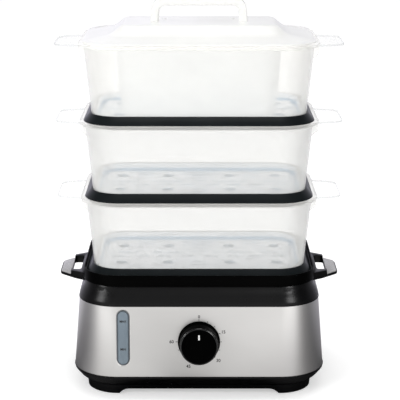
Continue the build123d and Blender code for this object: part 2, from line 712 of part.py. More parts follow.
# ---------------------------------------------------------------- turbo ring, drip tray
TURBO_T = 2.0
with BuildPart() as turbo_ring:
    disc(TANK_FLOOR_Z, TANK_FLOOR_Z + TURBO_H, TURBO_R, y=HEATER_Y)
    disc(TANK_FLOOR_Z, TANK_FLOOR_Z + TURBO_H, TURBO_R - TURBO_T, y=HEATER_Y, mode=Mode.SUBTRACT)
    # Water enters through four low arches
    with BuildSketch(level(TANK_FLOOR_Z, HEATER_Y)) as arches:
        Rectangle(2 * TURBO_R + 10, 16)
        Rectangle(16, 2 * TURBO_R + 10)
    extrude(arches.sketch, amount=6, mode=Mode.SUBTRACT)
keep(turbo_ring, "turbo_ring")

LEDGE_Z = SEATS[0]
SKIRT_LEDGE_Z = DECK_Z + WALL
TRAY_TOP_Z = 131.8
TRAY_DISH = (112.6, 75.6, 31.0)
DISH_DRAFT = 8.0
DISH_Z = 106.0
CHIMNEY = (46.0, 13.0)
CHIMNEY_TOP_Z = 120.0
with BuildPart() as drip_tray:
    rounded_block((DECK_Z, TRAY_RIM), (TRAY_TOP_Z, inset(TRAY_RIM, 0.6)))
    rounded_block((DISH_Z, inset(TRAY_DISH, DISH_DRAFT)), (DECK_Z, TRAY_DISH))
    # Rebates for the first tier's rim and skirt, then the dish
    rounded_prism(LEDGE_Z, TRAY_TOP_Z, inset(TRAY_RIM, WALL), mode=Mode.SUBTRACT)
    rounded_prism(SKIRT_LEDGE_Z, LEDGE_Z, inset(RING_SKIRT, -0.6), mode=Mode.SUBTRACT)
    rounded_block(
        (DISH_Z + WALL, inset(TRAY_DISH, DISH_DRAFT + WALL)),
        (DECK_Z, inset(TRAY_DISH, WALL)),
        (SKIRT_LEDGE_Z, inset(TRAY_DISH, WALL)),
        mode=Mode.SUBTRACT,
    )
    # Three steam chimneys with an open top
    with BuildSketch(level(DISH_Z)) as chimneys:
        with GridLocations(0, 36, 1, 3):
            SlotOverall(2 * CHIMNEY[0], 2 * CHIMNEY[1] - 8)
    extrude(chimneys.sketch, amount=CHIMNEY_TOP_Z - DISH_Z)
    with BuildSketch(level(DISH_Z)) as flues:
        with GridLocations(0, 36, 1, 3):
            SlotOverall(2 * CHIMNEY[0] - 2 * WALL, 2 * CHIMNEY[1] - 8 - 2 * WALL)
    extrude(flues.sketch, amount=CHIMNEY_TOP_Z - DISH_Z, mode=Mode.SUBTRACT)
keep(drip_tray, "drip_tray")

# ---------------------------------------------------------------- tiers
LEDGE_DROP = 1.5  # the floor's flange lies on a ledge this far below the seat plane
FLOOR_PLATE = 1.8
FLOOR_RIM = (107.4, 69.4, 26.0)
FLOOR_RIM_H = 6.4
EGG_DEPTH = 3.8
EGG_VENT_R = 7.0


def ring(seat):
    """Black ring: steps the narrow foot of a basket out to the wide rim that carries it."""
    rounded_block((seat, RING), (seat + RING_TOP, inset(RING, RING_FLARE)))
    rounded_prism(seat - 5, seat, RING_SKIRT)
    rounded_prism(seat - LEDGE_DROP, seat + RING_TOP, inset(BASKET, -1.2), mode=Mode.SUBTRACT)
    rounded_prism(seat - 5, seat - LEDGE_DROP, inset(RING_SKIRT, 8), mode=Mode.SUBTRACT)


def basket_floor(seat):
    """Perforated tray with two rows of egg seats and a low rim."""
    under = seat - LEDGE_DROP
    plate_top = under + FLOOR_PLATE
    rounded_prism(under, plate_top, BASKET)
    rounded_prism(plate_top, plate_top + FLOOR_RIM_H, FLOOR_RIM)
    rounded_prism(plate_top, plate_top + FLOOR_RIM_H, inset(FLOOR_RIM, 1.5), mode=Mode.SUBTRACT)
    eggs = [(x, y) for x in EGG_X for y in EGG_Y]
    for low, high, half, mode in (
        (under - EGG_DEPTH, under, EGG / 2, Mode.ADD),
        (plate_top - EGG_DEPTH, plate_top, EGG / 2 - FLOOR_PLATE, Mode.SUBTRACT),
    ):
        with BuildSketch(level(low)) as seats:
            with Locations(*eggs):
                Rectangle(2 * half, 2 * half)
        extrude(seats.sketch, amount=high - low, mode=mode)
    with BuildSketch(level(under - EGG_DEPTH)) as openings:
        with Locations(*eggs):
            RegularPolygon(EGG_VENT_R, 8)
        with GridLocations(25, 0, 8, 1):
            Rectangle(16, 3.2)
        with Locations((0, EGG_Y[0]), (0, EGG_Y[1])):
            with GridLocations(0, 12, 1, 3):
                Rectangle(16, 3.2)
    extrude(openings.sketch, amount=EGG_DEPTH + FLOOR_PLATE, mode=Mode.SUBTRACT)


GUSSET_Y = 42.0  # the gussets stand where the wing ends
GUSSET_ROOT_X = 116.6  # inside the thickness of the basket's wall


def wing_plan(height, inset_by):
    """Plan of the right-hand carrying wing."""
    with BuildSketch(level(height)) as plan:
        with BuildLine():
            Polyline(
                (116.4, -42 + inset_by),
                (WING_TIP_X - inset_by, -33 + inset_by),
                (WING_TIP_X - inset_by, 33 - inset_by),
                (116.4, 42 - inset_by),
                close=True,
            )
        make_face()
        fillet(plan.vertices().group_by(Axis.X)[-1], radius=10 - inset_by)
    return plan.sketch


def wing(seat):
    """Right-hand wing: a thin shelf with a lip turned down round its edge and a gusset at each end."""
    top = seat + WING_TOP
    extrude(wing_plan(top, 0), amount=-7)
    extrude(wing_plan(top - 1.8, 1.8), amount=-10, mode=Mode.SUBTRACT)
    rim_under = seat + PITCH - RIM_T
    for side in (-1, 1):
        near = Plane(origin=(0, BODY_Y + side * GUSSET_Y, 0), x_dir=(1, 0, 0), z_dir=(0, -1, 0))
        with BuildSketch(near) as gusset:
            with BuildLine():
                Polyline(
                    (GUSSET_ROOT_X, rim_under),
                    (RIM[0], rim_under),
                    (RIM[0], rim_under - GUSSET_H),
                    (GUSSET_ROOT_X - 1, rim_under - GUSSET_FOOT_H),
                    close=True,
                )
            make_face()
        extrude(gusset.sketch, amount=BASKET_WALL / 2, both=True)


def basket(seat, wings):
    """Clear wall, open top and bottom, with a stacking rim and two wings."""
    foot, rim_under, rim_top = seat + 0.3, seat + PITCH - RIM_T, seat + PITCH
    mouth = inset(BASKET, -BASKET_FLARE)
    rounded_block((foot, BASKET), (rim_under, mouth))
    rounded_prism(rim_under, rim_top, RIM)
    add(wings)
    add(mirror(wings, about=Plane.YZ, mode=Mode.PRIVATE))
    inner_foot, inner_mouth = inset(BASKET, BASKET_WALL), inset(mouth, BASKET_WALL)
    rounded_block((foot, inner_foot), (rim_under, inner_mouth), mode=Mode.SUBTRACT)
    rounded_prism(rim_under, rim_top, inner_mouth, mode=Mode.SUBTRACT)


for number, seat in enumerate(SEATS, start=1):
    with BuildPart() as tier_ring:
        ring(seat)
    keep(tier_ring, f"ring_{number}")
    with BuildPart() as tier_floor:
        basket_floor(seat)
    keep(tier_floor, f"floor_{number}")
    with BuildPart() as tier_wing:
        wing(seat)
    with BuildPart() as tier_basket:
        basket(seat, tier_wing.part)
    keep(tier_basket, f"basket_{number}")

# ---------------------------------------------------------------- rice bowl
BOWL_Z = SEATS[2] - LEDGE_DROP + FLOOR_PLATE
BOWL_T = 2.0
BOWL_TOP_Z = BOWL_Z + BOWL_H
with BuildPart() as rice_bowl:
    bowl_rim = inset(BOWL, -BOWL_FLARE)
    rounded_block((BOWL_Z, inset(BOWL, 4)), (BOWL_Z + 4, BOWL), (BOWL_TOP_Z, bowl_rim))
    rounded_prism(BOWL_TOP_Z - BOWL_T, BOWL_TOP_Z, BOWL_FLANGE)
    rounded_block(
        (BOWL_Z + BOWL_T, inset(BOWL, 4 + BOWL_T)),
        (BOWL_Z + 4 + BOWL_T, inset(BOWL, BOWL_T)),
        (BOWL_TOP_Z, inset(bowl_rim, BOWL_T)),
        mode=Mode.SUBTRACT,
    )
keep(rice_bowl, "rice_bowl")

# ---------------------------------------------------------------- lid and its handle
LID_FLANGE_T = 2.0
LID_SKIRT_H = 5.0
PEG_X, PEG_R = 46.6, 2.4
VENT_AT = ((-36, 18), (36, 18))


def dome(drop, by):
    """Sections of the dome from the flange up, lowered and drawn in for its inside."""
    return (
        (LID_SEAT + LID_FLANGE_T - drop, inset(DOME, by)),
        (LID_SEAT + SHOULDER_H - drop, inset(DOME, SHOULDER_IN + by)),
        (LID_SEAT + PLATEAU_H - drop, inset(DOME, PLATEAU_IN + by)),
    )


with BuildPart() as lid:
    rounded_prism(LID_SEAT, LID_SEAT + LID_FLANGE_T, LID_EDGE)
    rounded_prism(LID_SEAT - LID_SKIRT_H, LID_SEAT, RING_SKIRT)
    rounded_block(*dome(0, 0))
    rounded_prism(LID_SEAT - LID_SKIRT_H, LID_SEAT, inset(RING_SKIRT, LID_T), mode=Mode.SUBTRACT)
    rounded_block(*dome(LID_T, LID_T), mode=Mode.SUBTRACT)
    with BuildSketch(level(LID_SEAT)) as lid_holes:
        with Locations((-PEG_X, 0), (PEG_X, 0)):
            Circle(PEG_R + 0.1)
        with Locations(*VENT_AT):
            Circle(2.5)
    extrude(lid_holes.sketch, amount=PLATEAU_H + 5, mode=Mode.SUBTRACT)
keep(lid, "lid")

HANDLE_BAR = 8.4
HANDLE_POST = 8.4
HANDLE_Z = LID_SEAT + PLATEAU_H
with BuildPart() as lid_handle:
    with BuildSketch(upright_section()) as arch_face:
        with Locations((0, HANDLE_Z + HANDLE_H / 2)):
            Rectangle(2 * HANDLE_HALF_X, HANDLE_H)
        fillet(arch_face.vertices().group_by(Axis.Y)[-1], radius=12)
    extrude(arch_face.sketch, amount=HANDLE_HALF_Y, both=True)
    with BuildSketch(upright_section()) as finger_hole:
        with Locations((0, HANDLE_Z + (HANDLE_H - HANDLE_BAR) / 2)):
            Rectangle(2 * (HANDLE_HALF_X - HANDLE_POST), HANDLE_H - HANDLE_BAR)
        fillet(finger_hole.vertices().group_by(Axis.Y)[-1], radius=6)
    extrude(finger_hole.sketch, amount=2 * HANDLE_HALF_Y, both=True, mode=Mode.SUBTRACT)
    # Pegs snap through the lid and swell under it
    pegs = ((-PEG_X, 0), (PEG_X, 0))
    disc(HANDLE_Z - LID_T, HANDLE_Z, PEG_R, pegs)
    disc(HANDLE_Z - LID_T - 2, HANDLE_Z - LID_T, PEG_R + 0.9, pegs)
keep(lid_handle, "lid_handle")
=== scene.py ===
"""Looks of an electric food steamer, modelled round its packed construction model."""

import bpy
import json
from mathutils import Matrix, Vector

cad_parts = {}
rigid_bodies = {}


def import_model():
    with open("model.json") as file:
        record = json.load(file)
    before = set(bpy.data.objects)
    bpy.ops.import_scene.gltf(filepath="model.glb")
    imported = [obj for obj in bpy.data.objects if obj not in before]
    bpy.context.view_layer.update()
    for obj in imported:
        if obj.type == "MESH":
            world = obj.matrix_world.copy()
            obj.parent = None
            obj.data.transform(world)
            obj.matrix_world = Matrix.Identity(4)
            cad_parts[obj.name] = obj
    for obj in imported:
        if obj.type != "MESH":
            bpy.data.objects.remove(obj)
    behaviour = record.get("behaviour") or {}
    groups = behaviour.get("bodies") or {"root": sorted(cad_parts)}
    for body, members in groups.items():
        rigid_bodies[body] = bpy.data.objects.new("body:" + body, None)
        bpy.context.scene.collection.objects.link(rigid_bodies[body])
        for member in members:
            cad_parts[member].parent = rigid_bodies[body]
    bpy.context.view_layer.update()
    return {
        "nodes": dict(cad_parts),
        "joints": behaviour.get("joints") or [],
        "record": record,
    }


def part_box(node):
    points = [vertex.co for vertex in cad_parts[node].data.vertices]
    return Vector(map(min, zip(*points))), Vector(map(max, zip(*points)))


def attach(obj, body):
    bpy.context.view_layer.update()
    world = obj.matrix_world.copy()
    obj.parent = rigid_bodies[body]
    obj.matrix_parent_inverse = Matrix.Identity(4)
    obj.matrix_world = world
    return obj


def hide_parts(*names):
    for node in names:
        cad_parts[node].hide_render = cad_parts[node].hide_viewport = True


bl_info = {
    "name": "Food Steamer Looks",
    "version": (1, 0, 0),
    "blender": (4, 5, 0),
    "location": "View3D > Sidebar > Steamer",
    "description": "Models and finishes a three-tier electric food steamer round its construction frame",
    "category": "Object",
}

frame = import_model()

import json
from math import atan2, cos, pi, radians, sin

import bmesh
import bpy
from mathutils import Matrix, Vector

MM = 0.001

# ---------------------------------------------------------------- places taken from the frame
JACKET_LOW, JACKET_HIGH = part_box("steel_wrap")
BODY_Y = (JACKET_LOW.y + JACKET_HIGH.y) / 2 / MM  # the body's own middle, in mm
COVER_TOP_Z = JACKET_LOW.z / MM
COLLAR_Z = JACKET_HIGH.z / MM
JACKET_DRAFT = 6.1
SHEET = 0.8
PANEL_SLOPE = atan2(JACKET_DRAFT, COLLAR_Z - COVER_TOP_Z)
SKIRT = 5.0  # how far a ring and the lid reach in below the plane that they rest on
SEATS = [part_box(f"ring_{number}")[0].z / MM + SKIRT for number in (1, 2, 3)]
LID_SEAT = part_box("basket_3")[1].z / MM
CROWN = 16.4  # the lid's flat top above its seat
PITCH = LID_SEAT - SEATS[2]
DIAL = Vector(frame["joints"][0]["pos_m"]) / MM  # where the knob's axis meets the front panel

# Rounded rectangles: half width, half depth, corner radius
JACKET = (133.0, 95.0, 48.0)
RING = (119.6, 81.6, 37.0)
BASKET = (110.2, 72.2, 29.0)
DOME = (116.5, 78.5, 46.0)
BOWL = (80.0, 42.0, 16.0)

EGG_ROWS = (-31.5, 31.5)
EGGS = [(x, y) for x in (-83.0, -33.0, 33.0, 83.0) for y in EGG_ROWS]
VENT_R = 6.2
GAUGE_X, GAUGE_Z = -79.0, 66.3
GAUGE_W, GAUGE_H = 12.9, 58.6
GLAND_X, GLAND_Z = 60.0, 36.0
DIAL_HOLE_R, GLAND_HOLE_R = 5.0, 7.9
BEZEL_R, KNOB_FACE, INK = 22.0, 18.95, 0.08  # from the dial's axis, from the panel, thickness of print


# ---------------------------------------------------------------- colours and node helpers
def linear(code):
    """An sRGB hex value as linear red, green, blue and a full alpha."""
    parts = [int(code[i : i + 2], 16) / 255 for i in (1, 3, 5)]
    return tuple(p / 12.92 if p <= 0.04045 else ((p + 0.055) / 1.055) ** 2.4 for p in parts) + (1.0,)


def add_node(tree, kind, values=None, **links):
    """Adds a node, sets its values, and links output sockets into its named inputs."""
    made = tree.nodes.new(kind)
    for name, value in (values or {}).items():
        if name in made.inputs:
            made.inputs[name].default_value = value
        else:
            setattr(made, name, value)
    for name, source in links.items():
        target = made.inputs[int(name[1:])] if name[0] == "i" and name[1:].isdigit() else made.inputs[name]
        tree.links.new(source, target)
    return made


def new_finish(name, values):
    """A material with one Principled shader: itself, its tree, its shader and its object coordinates."""
    finish = bpy.data.materials.new(name)
    finish.use_nodes = True
    tree = finish.node_tree
    tree.nodes.clear()
    shader = add_node(tree, "ShaderNodeBsdfPrincipled", values)
    add_node(tree, "ShaderNodeOutputMaterial", Surface=shader.outputs["BSDF"])
    place = add_node(tree, "ShaderNodeTexCoord").outputs["Object"]
    return finish, tree, shader, place


def stretched(tree, place, steps):
    """Object coordinates counted in steps of the given millimetres along each axis."""
    scale = tuple(1 / (step * MM) for step in steps)
    return add_node(tree, "ShaderNodeMapping", {"Scale": scale}, Vector=place).outputs["Vector"]


def grain(tree, place, steps, detail=2.0):
    """Noise whose features are about that many millimetres long on each axis."""
    values = {"Scale": 1.0, "Detail": detail}
    scaled = stretched(tree, place, steps)
    return add_node(tree, "ShaderNodeTexNoise", values, Vector=scaled).outputs["Fac"]


def spread(tree, source, low, high, start=0.0, end=1.0):
    """A value that runs from start to end, mapped to low to high and kept within them."""
    limits = {"From Min": start, "From Max": end, "To Min": low, "To Max": high}
    return add_node(tree, "ShaderNodeMapRange", limits, Value=source).outputs["Result"]


def calculate(tree, operation, first, second, clamp=False):
    """One step of arithmetic on two values, each an output socket or a number."""
    made = add_node(tree, "ShaderNodeMath", {"operation": operation, "use_clamp": clamp})
    for socket, value in zip(made.inputs, (first, second)):
        if isinstance(value, float):
            socket.default_value = value
        else:
            tree.links.new(value, socket)
    return made.outputs["Value"]


def roughen(tree, shader, source, roughness):
    """Roughness that wanders between two values."""
    tree.links.new(spread(tree, source, *roughness), shader.inputs["Roughness"])


def raise_surface(tree, shader, source, strength, height_mm):
    """Bump from a value, its full height given in millimetres."""
    bump = add_node(tree, "ShaderNodeBump", {"Strength": strength, "Distance": height_mm * MM}, Height=source)
    tree.links.new(bump.outputs["Normal"], shader.inputs["Normal"])


def tint(tree, shader, source, dark, light):
    """Base colour that wanders between two hex values."""
    blend = add_node(tree, "ShaderNodeMix", {"data_type": "RGBA"}, Factor=source)
    colours = [socket for socket in blend.inputs if socket.type == "RGBA"]
    colours[0].default_value = linear(dark)
    colours[1].default_value = linear(light)
    out = [socket for socket in blend.outputs if socket.type == "RGBA"][0]
    tree.links.new(out, shader.inputs["Base Color"])


# ---------------------------------------------------------------- finishes
def brushed_stainless():
    """Stainless sheet brushed along its length: fine level lines, soft reflections drawn out upright."""
    finish, tree, shader, place = new_finish("brushed_stainless", {"Metallic": 1.0})
    # Real brushing is 0.1 mm apart; drawn 0.7 mm apart so that it shows
    lines = grain(tree, place, (60.0, 60.0, 0.7), 3.0)
    clouds = grain(tree, place, (40.0, 40.0, 25.0))
    tint(tree, shader, clouds, "#DAD9D7", "#E0DFDD")
    roughen(tree, shader, lines, (0.26, 0.38))
    raise_surface(tree, shader, lines, 0.10, 0.04)
    return finish


def moulded(name, dark, light, roughness, grit_mm=1.6, height=0.02, gloss=0.5):
    """Moulded plastic: even colour, a soft gloss and a faint ripple from the mould."""
    finish, tree, shader, place = new_finish(name, {"IOR": 1.49, "Specular IOR Level": gloss})
    ripple = grain(tree, place, (grit_mm, grit_mm, grit_mm))
    clouds = grain(tree, place, (30.0, 30.0, 30.0))
    tint(tree, shader, clouds, dark, light)
    roughen(tree, shader, clouds, roughness)
    raise_surface(tree, shader, ripple, 0.25, height)
    return finish


def black(name, dark, light, roughness, gloss):
    """Black moulded plastic, smoother than the rest."""
    return moulded(name, dark, light, roughness, grit_mm=2.4, height=0.01, gloss=gloss)


def milky(name, dark, light, alpha):
    """Natural polypropylene: clear but milky, denser where it is seen along the wall."""
    values = {"IOR": 1.49, "Roughness": 0.25, "Specular IOR Level": 0.3}
    finish, tree, shader, place = new_finish(name, values)
    haze = grain(tree, place, (45.0, 45.0, 30.0))
    tint(tree, shader, haze, dark, light)
    edge = add_node(tree, "ShaderNodeLayerWeight", {"Blend": 0.35})
    dense = spread(tree, edge.outputs["Facing"], *alpha)
    streaks = spread(tree, haze, -0.02, 0.02)
    tree.links.new(calculate(tree, "ADD", dense, streaks, clamp=True), shader.inputs["Alpha"])
    return finish


def plain_metal(name, dark, light, roughness, step=(1.5, 1.5, 1.5)):
    """Bare or plated metal with slight clouding."""
    finish, tree, shader, place = new_finish(name, {"Metallic": 1.0})
    clouds = grain(tree, place, step)
    tint(tree, shader, clouds, dark, light)
    roughen(tree, shader, clouds, roughness)
    raise_surface(tree, shader, clouds, 0.1, 0.02)
    return finish


def textured_pad():
    """Silvered plastic pad with a fine dimpled grip, and painted shade in the dimples."""
    finish, tree, shader, place = new_finish("silvered_grip_pad", {"Metallic": 0.6, "Roughness": 0.45})
    cells = add_node(tree, "ShaderNodeTexVoronoi", {"Scale": 1 / (1.2 * MM)}, Vector=place)
    # Colour follows the dimples: painted shade, darker at the bottom of each dimple
    tint(tree, shader, cells.outputs["Distance"], "#B9B8B7", "#E6E5E3")
    raise_surface(tree, shader, cells.outputs["Distance"], 0.4, 0.15)
    return finish


def finishes():
    """Every material, by the record's slot name or the name that pieces are painted with."""
    return {
        "jacket_steel": brushed_stainless(),
        "inlay_steel": textured_pad(),
        "housing_black": black("black_housing_polypropylene", "#060607", "#0A0A0B", (0.24, 0.32), 0.2),
        "tray_black": black("black_tray_polypropylene", "#020202", "#040404", (0.26, 0.34), 0.02),
        "tier_black": black("black_tier_polypropylene", "#14181A", "#1C2022", (0.26, 0.34), 0.1),
        "knob_black": black("black_knob_abs", "#020202", "#050505", (0.28, 0.36), 0.003),
        "knob_edge": black("polished_knob_edge", "#050506", "#09090A", (0.14, 0.2), 0.5),
        "foot_rubber": moulded("foot_rubber", "#17171A", "#232326", (0.75, 0.9), 0.8, 0.05),
        "seal_grey": moulded("grey_silicone", "#4A5157", "#565E65", (0.5, 0.6)),
        "timer_grey": moulded("glass_filled_nylon", "#7E7F7C", "#8E8F8B", (0.5, 0.65), 0.9, 0.05),
        "thermostat_brown": moulded("phenolic_moulding", "#2E1C14", "#3D271B", (0.35, 0.5)),
        "fuse_white": moulded("glazed_ceramic", "#E2E1DA", "#EFEEE8", (0.12, 0.2)),
        "terminal_white": moulded("terminal_nylon", "#DCDACF", "#E8E6DC", (0.4, 0.5)),
        "lead_sleeve": moulded("silicone_sleeve", "#CFCEC6", "#DDDCD4", (0.55, 0.7)),
        "pointer_white": moulded("white_inlay", "#F2F2F0", "#FAFAF8", (0.3, 0.4)),
        "turbo_white": moulded("white_polypropylene", "#E4E6E6", "#F0F1F1", (0.35, 0.45)),
        "screw_steel": plain_metal("zinc_plate", "#B9BAB8", "#CFCFCC", (0.25, 0.4)),
        "bell_steel": plain_metal("pressed_steel", "#A7A192", "#BFB9A8", (0.3, 0.45), (6.0, 6.0, 6.0)),
        "heater_steel": plain_metal("stainless_plate", "#B5B4B1", "#C9C8C4", (0.3, 0.42), (12.0, 1.0, 1.0)),
        "rod_aluminium": plain_metal("extruded_aluminium", "#B4B5B6", "#C6C7C8", (0.4, 0.55)),
        "gauge_clear": milky("gauge_polycarbonate", "#7C8994", "#84919B", (0.92, 1.0)),
        "basket_clear": milky("basket_polypropylene", "#F8F7F4", "#FCFBF8", (0.29, 0.66)),
        "wing_clear": milky("thin_polypropylene", "#F8F9F9", "#FCFCFC", (0.1, 0.21)),
        "clear_edge": milky("polypropylene_edge", "#D5D8DA", "#DDDFE1", (0.4, 0.6)),
        "floor_blue": milky("blue_tinted_polypropylene", "#F2F5F8", "#F8FAFB", (0.9, 0.98)),
        "floor_rim_blue": milky("blue_rim_polypropylene", "#8FB4CF", "#9CBFD7", (0.86, 0.96)),
        # Painted shade: a darker blue-grey for the feet of the egg seats and the insides of the vents
        "floor_painted_shade": milky("blue_edge_polypropylene", "#869CAD", "#93A8B7", (0.85, 0.95)),
        "bowl_white": milky("bowl_polypropylene", "#F9FBFB", "#FCFDFD", (0.86, 0.96)),
        "lid_white": milky("lid_polypropylene", "#FAFAF8", "#FDFDFB", (0.84, 0.95)),
        "dial_ink": moulded("dark_ink", "#101012", "#18181A", (0.5, 0.6)),
    }


# ---------------------------------------------------------------- modelling helpers
def clear_selection():
    """Leaves edit mode and selects nothing."""
    if bpy.context.mode != "OBJECT":
        bpy.ops.object.mode_set(mode="OBJECT")
    bpy.ops.object.select_all(action="DESELECT")


def take(piece):
    """Makes a piece the only one selected, and active."""
    clear_selection()
    piece.select_set(True)
    bpy.context.view_layer.objects.active = piece


def new_piece(name):
    """An empty mesh at the origin, in edit mode, ready for its first primitive."""
    clear_selection()
    piece = bpy.data.objects.new(name, bpy.data.meshes.new(name))
    bpy.context.scene.collection.objects.link(piece)
    take(piece)
    bpy.ops.object.mode_set(mode="EDIT")
    return piece


def pick(piece, kind, test):
    """Selects, in edit mode, only the verts, edges or faces that pass a test."""
    bpy.ops.mesh.select_mode(type={"verts": "VERT", "edges": "EDGE", "faces": "FACE"}[kind])
    bpy.ops.mesh.select_all(action="DESELECT")
    shape = bmesh.from_edit_mesh(piece.data)
    found = 0
    for item in getattr(shape, kind):
        if test(item):
            item.select_set(True)
            found += 1
    bmesh.update_edit_mesh(piece.data)
    return found


def close_by(vertex, point, reach=0.02):
    """Whether a vertex lies at a point, within a small reach in mm."""
    return (vertex.co - point).length < reach * MM


def draw_section(piece, points, place, closed=True, steps=4):
    """Draws a chain of edges through points (u, v) or (u, v, rounding), all in mm, put in space by place."""
    spots = [place(*point[:2]) for point in points]
    bpy.ops.mesh.select_mode(type="VERT")
    bpy.ops.mesh.select_all(action="DESELECT")
    bpy.ops.mesh.primitive_plane_add(size=MM, location=spots[0])
    bpy.ops.mesh.merge(type="CENTER")
    for here, there in zip(spots, spots[1:]):
        bpy.ops.mesh.extrude_vertices_move(TRANSFORM_OT_translate={"value": there - here})
    if closed:
        pick(piece, "verts", lambda v: close_by(v, spots[0]) or close_by(v, spots[-1]))
        bpy.ops.mesh.edge_face_add()
    for point, spot in zip(points, spots):
        if len(point) > 2:
            pick(piece, "verts", lambda v: close_by(v, spot))
            bpy.ops.mesh.bevel(offset=point[2] * MM, segments=steps, affect="VERTICES")
    bpy.ops.mesh.select_mode(type="VERT")
    bpy.ops.mesh.select_all(action="SELECT")


def pull(step):
    """Extrudes what is selected by a step in metres."""
    bpy.ops.mesh.extrude_region_move(TRANSFORM_OT_translate={"value": step})


def add_box(spot, size, turned=(0, 0, 0)):
    """Adds a box to the piece in edit mode, its middle given in metres and its size in mm."""
    bpy.ops.mesh.select_all(action="DESELECT")
    bpy.ops.mesh.primitive_cube_add(size=MM, location=spot, rotation=turned)
    bpy.ops.transform.resize(value=size, center_override=spot)


def add_rod(spot, radius, length, sides=24):
    """Adds an upright cylinder to the piece in edit mode, its middle in metres and its size in mm."""
    bpy.ops.mesh.select_all(action="DESELECT")
    bpy.ops.mesh.primitive_cylinder_add(
        vertices=sides, radius=radius * MM, depth=length * MM, location=spot
    )


def tidy_shell():
    """Closes seams and turns all faces outwards, in edit mode."""
    bpy.ops.mesh.select_all(action="SELECT")
    bpy.ops.mesh.remove_doubles(threshold=0.01 * MM)
    bpy.ops.mesh.fill_holes(sides=0)
    bpy.ops.mesh.normals_make_consistent(inside=False)


def go_round(name, size, points, rise=0.0, closed=True, corner_steps=14):
    """A piece: a section of (distance from the middle, height) carried once round a rounded rectangle."""
    piece = new_piece(name)
    straight_x, straight_y = (size[0] - size[2]) * MM, (size[1] - size[2]) * MM
    middle_y = BODY_Y * MM
    draw_section(piece, points, lambda u, v: Vector((u * MM, middle_y, (v + rise) * MM)), closed)
    legs = (
        ((0, straight_y, 0), (straight_x, straight_y)),
        ((-2 * straight_x, 0, 0), (-straight_x, straight_y)),
        ((0, -2 * straight_y, 0), (-straight_x, -straight_y)),
        ((2 * straight_x, 0, 0), (straight_x, -straight_y)),
    )
    for leg, corner in legs:
        pull(leg)
        centre = (corner[0], middle_y + corner[1], 0)
        bpy.ops.mesh.spin(steps=corner_steps, angle=-pi / 2, center=centre, axis=(0, 0, 1))
    pull((0, straight_y, 0))
    tidy_shell()
    return piece


def turn(name, points, origin, axis, side, closed=True):
    """A piece: a section of (radius, distance along the axis) turned once round an axis, all in mm."""
    piece = new_piece(name)
    draw_section(piece, points, lambda u, v: (origin + side * u + axis * v) * MM, closed, steps=3)
    bpy.ops.mesh.spin(steps=96, angle=-2 * pi, center=origin * MM, axis=axis)
    tidy_shell()
    return piece


def slab(name, outline, y, depth, side=1, steps=4):
    """A piece: an upright outline of (x, z) points, as deep before as behind y; side -1 mirrors it."""
    piece = new_piece(name)
    front = BODY_Y + y - depth / 2
    draw_section(piece, outline, lambda u, v: Vector((side * u, front, v)) * MM, steps=steps)
    bpy.ops.mesh.edge_face_add()
    pull((0, depth * MM, 0))
    tidy_shell()
    return piece


def finish_shape(piece, angle=30, bevel=0.0, bevel_steps=2):
    """Leaves edit mode, rounds edges sharper than the angle if asked, and shades smoothly."""
    take(piece)
    if bevel:
        soft = piece.modifiers.new("edges", "BEVEL")
        soft.width = bevel * MM
        soft.segments = bevel_steps
        soft.limit_method = "ANGLE"
        soft.angle_limit = radians(angle)
        bpy.ops.object.modifier_apply(modifier=soft.name)
    bpy.ops.object.shade_smooth_by_angle(angle=radians(angle))
    return piece


def combine(piece, other, operation):
    """Cuts another mesh from a piece or joins it to it, and removes the other."""
    take(piece)
    cut = piece.modifiers.new("combine", "BOOLEAN")
    cut.operation = operation
    cut.solver = "EXACT"
    cut.object = other
    bpy.ops.object.modifier_apply(modifier=cut.name)
    bpy.data.objects.remove(other, do_unlink=True)
    return piece


def hand_over(piece, body, slot, *nodes, ink=None, more=()):
    """Gives a finished piece its materials, its body, and the CAD nodes that it stands for."""
    numbers = [face.material_index for face in piece.data.polygons] if more else ()
    piece.data.materials.clear()
    for name in (ink or slot, *more):
        piece.data.materials.append(FINISHES[name])
    for face, number in zip(piece.data.polygons, numbers):
        face.material_index = number
    if slot in CLEAR:
        piece.visible_shadow = False
    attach(piece, body)
    if nodes:
        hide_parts(*nodes)
    return piece


def paint(piece, number, test):
    """Gives the faces that pass a test another of the piece's materials, by its number."""
    for face in piece.data.polygons:
        if test(face):
            face.material_index = number


# Light passes through the milky pieces
CLEAR = ("basket_clear", "floor_blue", "bowl_white", "lid_white", "turbo_white")
FINISHES = {}


def body_of_node(node):
    """The body that a CAD node rides on."""
    groups = frame["record"]["behaviour"]["bodies"]
    return next(body for body, members in groups.items() if node in members)


def slot_of_node(node):
    """The record's slot of a CAD node."""
    return next(part["material_slot"] for part in frame["record"]["subparts"] if part["node"] == node)


def finish_from_frame(node, name, bevel, angle=30, ink=None):
    """A copy of a CAD node's mesh, merged, its edges rounded and its curves shaded smoothly."""
    take(frame["nodes"][node])
    bpy.ops.object.duplicate()
    piece = bpy.context.view_layer.objects.active
    bpy.ops.object.parent_clear(type="CLEAR")
    for key in list(piece.keys()):
        del piece[key]
    piece.name = name
    piece.data.name = name
    bpy.ops.object.mode_set(mode="EDIT")
    bpy.ops.mesh.select_all(action="SELECT")
    bpy.ops.mesh.remove_doubles(threshold=0.01 * MM)
    bpy.ops.mesh.dissolve_limited(angle_limit=radians(0.5))
    bpy.ops.object.mode_set(mode="OBJECT")
    finish_shape(piece, angle, bevel)
    return hand_over(piece, body_of_node(node), slot_of_node(node), node, ink=ink)


def panel_point(x, z, out=0.0, side=-1):
    """A point in mm on the sloping front (side -1) or rear (+1) panel, a distance out from it."""
    face_y = JACKET[1] - JACKET_DRAFT * (z - COVER_TOP_Z) / (COLLAR_Z - COVER_TOP_Z)
    normal = panel_normal(side)
    return Vector((x, BODY_Y + side * face_y, z)) + normal * out


def panel_normal(side=-1):
    """Outward direction of the front or rear panel."""
    return Vector((0, side * cos(PANEL_SLOPE), sin(PANEL_SLOPE)))


